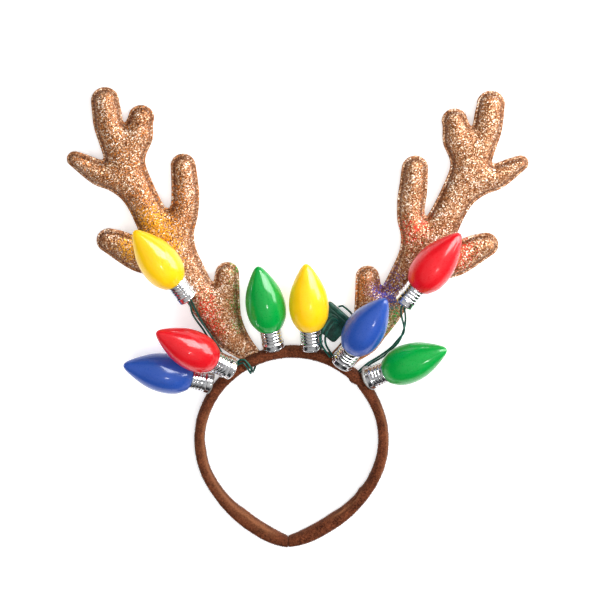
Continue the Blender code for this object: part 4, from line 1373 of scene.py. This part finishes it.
def screw_base(settings):
    """Rows of distance along and radius round a screw base, as two arrays.

    The radius is the plain wall, less a narrow bell of the height plus the turn, so that the groove climbs
    one pitch a turn. The thread fades in above the smooth foot band and out below the neck. Small quarter
    rounds finish the foot and the neck.
    """
    columns = 72
    turn = np.linspace(0, 2 * math.pi, columns, endpoint=False)
    length, full = bulb_base_length, bulb_base_radius
    wall = np.linspace(0.0006, length - 0.0004, 92)
    foot = 0.0006 * (1 - np.cos(np.linspace(0, math.pi / 2, 5)[:-1]))
    foot_radius = full * 0.985 - 0.0006 * (1 - np.sin(np.linspace(0, math.pi / 2, 5)[:-1]))
    share = wall / length
    band = 1.0 - 0.035 * np.clip((share - 0.34) / 0.04, 0.0, 1.0)
    fade = np.clip((share - 0.36) / 0.05, 0.0, 1.0) * np.clip((0.95 - share) / 0.05, 0.0, 1.0)
    phase = 2 * math.pi * (wall[:, None] / settings.thread_pitch) - turn[None, :]
    valley = np.exp(-((np.arccos(np.cos(phase + math.pi)) / 0.75) ** 2))
    groove = settings.thread_depth * fade[:, None] * valley
    upper, lower = np.exp(-(((share - 0.31) / 0.02) ** 2)), np.exp(-(((share - 0.07) / 0.02) ** 2))
    bead = 0.00022 * upper + 0.00015 * lower
    radius = full * band[:, None] * 0.985 + bead[:, None] - groove
    top = length - 0.0004 + 0.0007 * np.sin(np.linspace(0, math.pi / 2, 5)[1:])
    top_radius = radius[-1].mean() - 0.0007 * (1 - np.cos(np.linspace(0, math.pi / 2, 5)[1:]))
    along = np.concatenate([foot, wall, top])[:, None] * np.ones(columns)
    flat = np.ones(columns)
    radius = np.concatenate([foot_radius[:, None] * flat, radius, top_radius[:, None] * flat])
    return along, radius


class HEADBAND_OT_bases(bpy.types.Operator):
    """The chromed screw bases, and the glue at the feet of the two outer ones"""

    bl_idname = "headband.bases"
    bl_label = "Screw bases"

    def execute(self, context):
        settings = context.scene.headband_bulb
        chrome, glue = chrome_material(), glue_material()
        along, radius = screw_base(settings)
        columns = radius.shape[1]
        for index, name in enumerate(BULBS):
            foot, axis = bulb_seat(name)
            turned = np.roll(radius, index * 9, axis=1)
            grid = turned_points(foot, axis, along, turned)
            points, faces = closed_ends(grid, foot, foot + axis * along.max())
            base = put_mesh("screw_base_" + name, points, faces, chrome)
            on_body(base, "chromed_base", "base_" + name)
        for seed, name in ((31, "blue_left"), (32, "green_right")):
            foot, axis = bulb_seat(name)
            turn = np.linspace(0, 2 * math.pi, columns, endpoint=False)
            ring = np.linspace(0, 2 * math.pi, 16, endpoint=False)
            swellings = soft_noise(np.cos(turn), np.sin(turn), seed=seed, low=1.0, high=3.0)
            thick = (0.00075 + 0.00035 * swellings)[None, :]
            bead_along = 0.0004 + thick * np.sin(ring)[:, None] * 0.9
            bead_radius = bulb_base_radius * 0.97 + thick * np.cos(ring)[:, None]
            grid = turned_points(foot, axis, bead_along, bead_radius)
            grid[..., 2] = np.maximum(grid[..., 2], 0.0002)
            faces = grid_faces(len(ring), columns, wrap_rows=True)
            bead = put_mesh("glue_" + name, grid, faces, glue)
            on_body(bead, "chromed_base")
        return {"FINISHED"}


# Battery box

def box_frame():
    """Middle, length and breadth directions and size of the box's lid in the solids."""
    points = np.unique(point_array(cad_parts["box_lid"].data).round(7), axis=0)
    heading = math.radians(132.0)
    along = np.array([math.sin(heading), math.cos(heading)])
    across = np.array([-along[1], along[0]])
    reach = np.stack([points[:, :2] @ along, points[:, :2] @ across], axis=-1)
    low, high = reach.min(axis=0), reach.max(axis=0)
    middle = (low + high) / 2
    centre = along * middle[0] + across * middle[1]
    return centre, along, across, high - low


def rounded_block(centre, along, across, size, low, high, corner, fillet):
    """Points and faces of a block with round corners and round edges.

    A profile runs from the middle of the floor out, round the lower edge, up, round the upper edge and
    back to the middle. It is carried round a rectangle whose corners are quarter circles.
    """
    steps = 10
    quarter = np.radians(np.linspace(0, 90, steps))
    turn = np.concatenate([quarter + math.radians(90 * index) for index in range(4)])
    sign_x = np.repeat([1, -1, -1, 1], steps)
    sign_y = np.repeat([1, 1, -1, -1], steps)
    bend = np.radians(np.linspace(0, 90, 6))
    inward = np.concatenate([fillet * (1 - np.sin(bend)), fillet * (1 - np.cos(bend))])
    height = np.concatenate([low + fillet * (1 - np.cos(bend)), high - fillet + fillet * np.sin(bend)])
    shrink = np.concatenate([[0.02, 0.5, 0.8], np.ones(len(inward)), [0.8, 0.5, 0.02]])
    inward = np.concatenate([[fillet] * 3, inward, [fillet] * 3])
    height = np.concatenate([[low] * 3, height, [high] * 3])
    radius = np.maximum(corner - inward, 0.0001)
    x = sign_x * (size[0] / 2 - corner) + radius[:, None] * np.cos(turn)
    y = sign_y * (size[1] / 2 - corner) + radius[:, None] * np.sin(turn)
    x, y = x * shrink[:, None], y * shrink[:, None]
    z = height[:, None] * np.ones(len(turn))
    plan = centre + x[..., None] * along + y[..., None] * across
    points = np.concatenate([plan, z[..., None]], axis=-1)
    return points, capped_tube(*points.shape[:2])


class HEADBAND_OT_box(bpy.types.Operator):
    """The small battery box with its lid, ribs, round boss and grips"""

    bl_idname = "headband.box"
    bl_label = "Battery box"

    def execute(self, context):
        moulding = box_material(context.scene.headband_wire.box_colour)
        centre, along, across, size = box_frame()
        low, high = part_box("box_body")[0].z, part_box("box_lid")[1].z
        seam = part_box("box_lid")[0].z
        body = rounded_block(centre, along, across, size - 0.0012, low, seam + 0.0004, 0.0022, 0.0005)
        on_body(put_mesh("box_tray", *body, moulding), "box_plastic", "box_body")
        lid = rounded_block(centre, along, across, size, seam, high, 0.0026, 0.0008)
        on_body(put_mesh("box_cover", *lid, moulding), "box_plastic", "box_lid")
        edge = size[1] / 2
        ribs = (
            (edge - 0.0016, 0.92, 0.0011, 0.0009),
            (edge - 0.0042, 0.90, 0.0007, 0.0005),
        )
        for index, (offset, reach, width, rise) in enumerate(ribs):
            middle = centre + across * offset
            block = rounded_block(middle, along, across, (size[0] * reach, width * 2), high - 0.0004,
                                  high + rise, width * 0.9, min(width, rise) * 0.55)
            on_body(put_mesh("box_rib_" + str(index), *block, moulding), "box_plastic")
        boss = rounded_block(centre - along * 0.0010, along, across, (0.0106, 0.0106), high - 0.0004,
                             high + 0.0009, 0.0052, 0.0007)
        on_body(put_mesh("box_boss", *boss, moulding), "box_plastic")
        for index in range(4):
            middle = centre + along * (size[0] * (0.40 - 0.075 * index)) - across * 0.0018
            block = rounded_block(middle, along, across, (0.0006, size[1] * 0.62), high - 0.0003,
                                  high + 0.00028, 0.00028, 0.0002)
            on_body(put_mesh("box_grip_" + str(index), *block, moulding), "box_plastic")
        return {"FINISHED"}


# Add-on

class HEADBAND_PT_panel(bpy.types.Panel):
    """Buttons and settings of the headband's pieces"""

    bl_label = "Antler headband"
    bl_idname = "HEADBAND_PT_panel"
    bl_space_type = "VIEW_3D"
    bl_region_type = "UI"
    bl_category = "Headband"

    def draw(self, context):
        layout = self.layout
        for operator in OPERATORS:
            layout.operator(operator.bl_idname)
        for name, group in SETTINGS.items():
            box = layout.box()
            box.label(text=group.__doc__)
            for setting in group.__annotations__:
                box.prop(getattr(context.scene, name), setting)


SETTINGS = {
    "headband_stage": StageSettings,
    "headband_wire": WireSettings,
    "headband_plush": PlushSettings,
    "headband_antler": AntlerSettings,
    "headband_bulb": BulbSettings,
}
OPERATORS = (
    HEADBAND_OT_stage,
    HEADBAND_OT_wires,
    HEADBAND_OT_band,
    HEADBAND_OT_antlers,
    HEADBAND_OT_bulbs,
    HEADBAND_OT_bases,
    HEADBAND_OT_box,
)


def register():
    """Register the settings, the operators and the panel."""
    for name, group in SETTINGS.items():
        bpy.utils.register_class(group)
        setattr(bpy.types.Scene, name, bpy.props.PointerProperty(type=group))
    for made in OPERATORS + (HEADBAND_PT_panel,):
        bpy.utils.register_class(made)


def unregister():
    """Take the panel, the operators and the settings away again."""
    for made in (HEADBAND_PT_panel,) + OPERATORS[::-1]:
        bpy.utils.unregister_class(made)
    for name, group in SETTINGS.items():
        delattr(bpy.types.Scene, name)
        bpy.utils.unregister_class(group)


def main():
    """Register the add-on and make every piece in order."""
    register()
    bpy.ops.headband.stage()
    bpy.ops.headband.wires()
    bpy.ops.headband.band()
    bpy.ops.headband.antlers()
    bpy.ops.headband.bulbs()
    bpy.ops.headband.bases()
    bpy.ops.headband.box()
    bpy.context.view_layer.update()


if __name__ == "__main__":
    main()
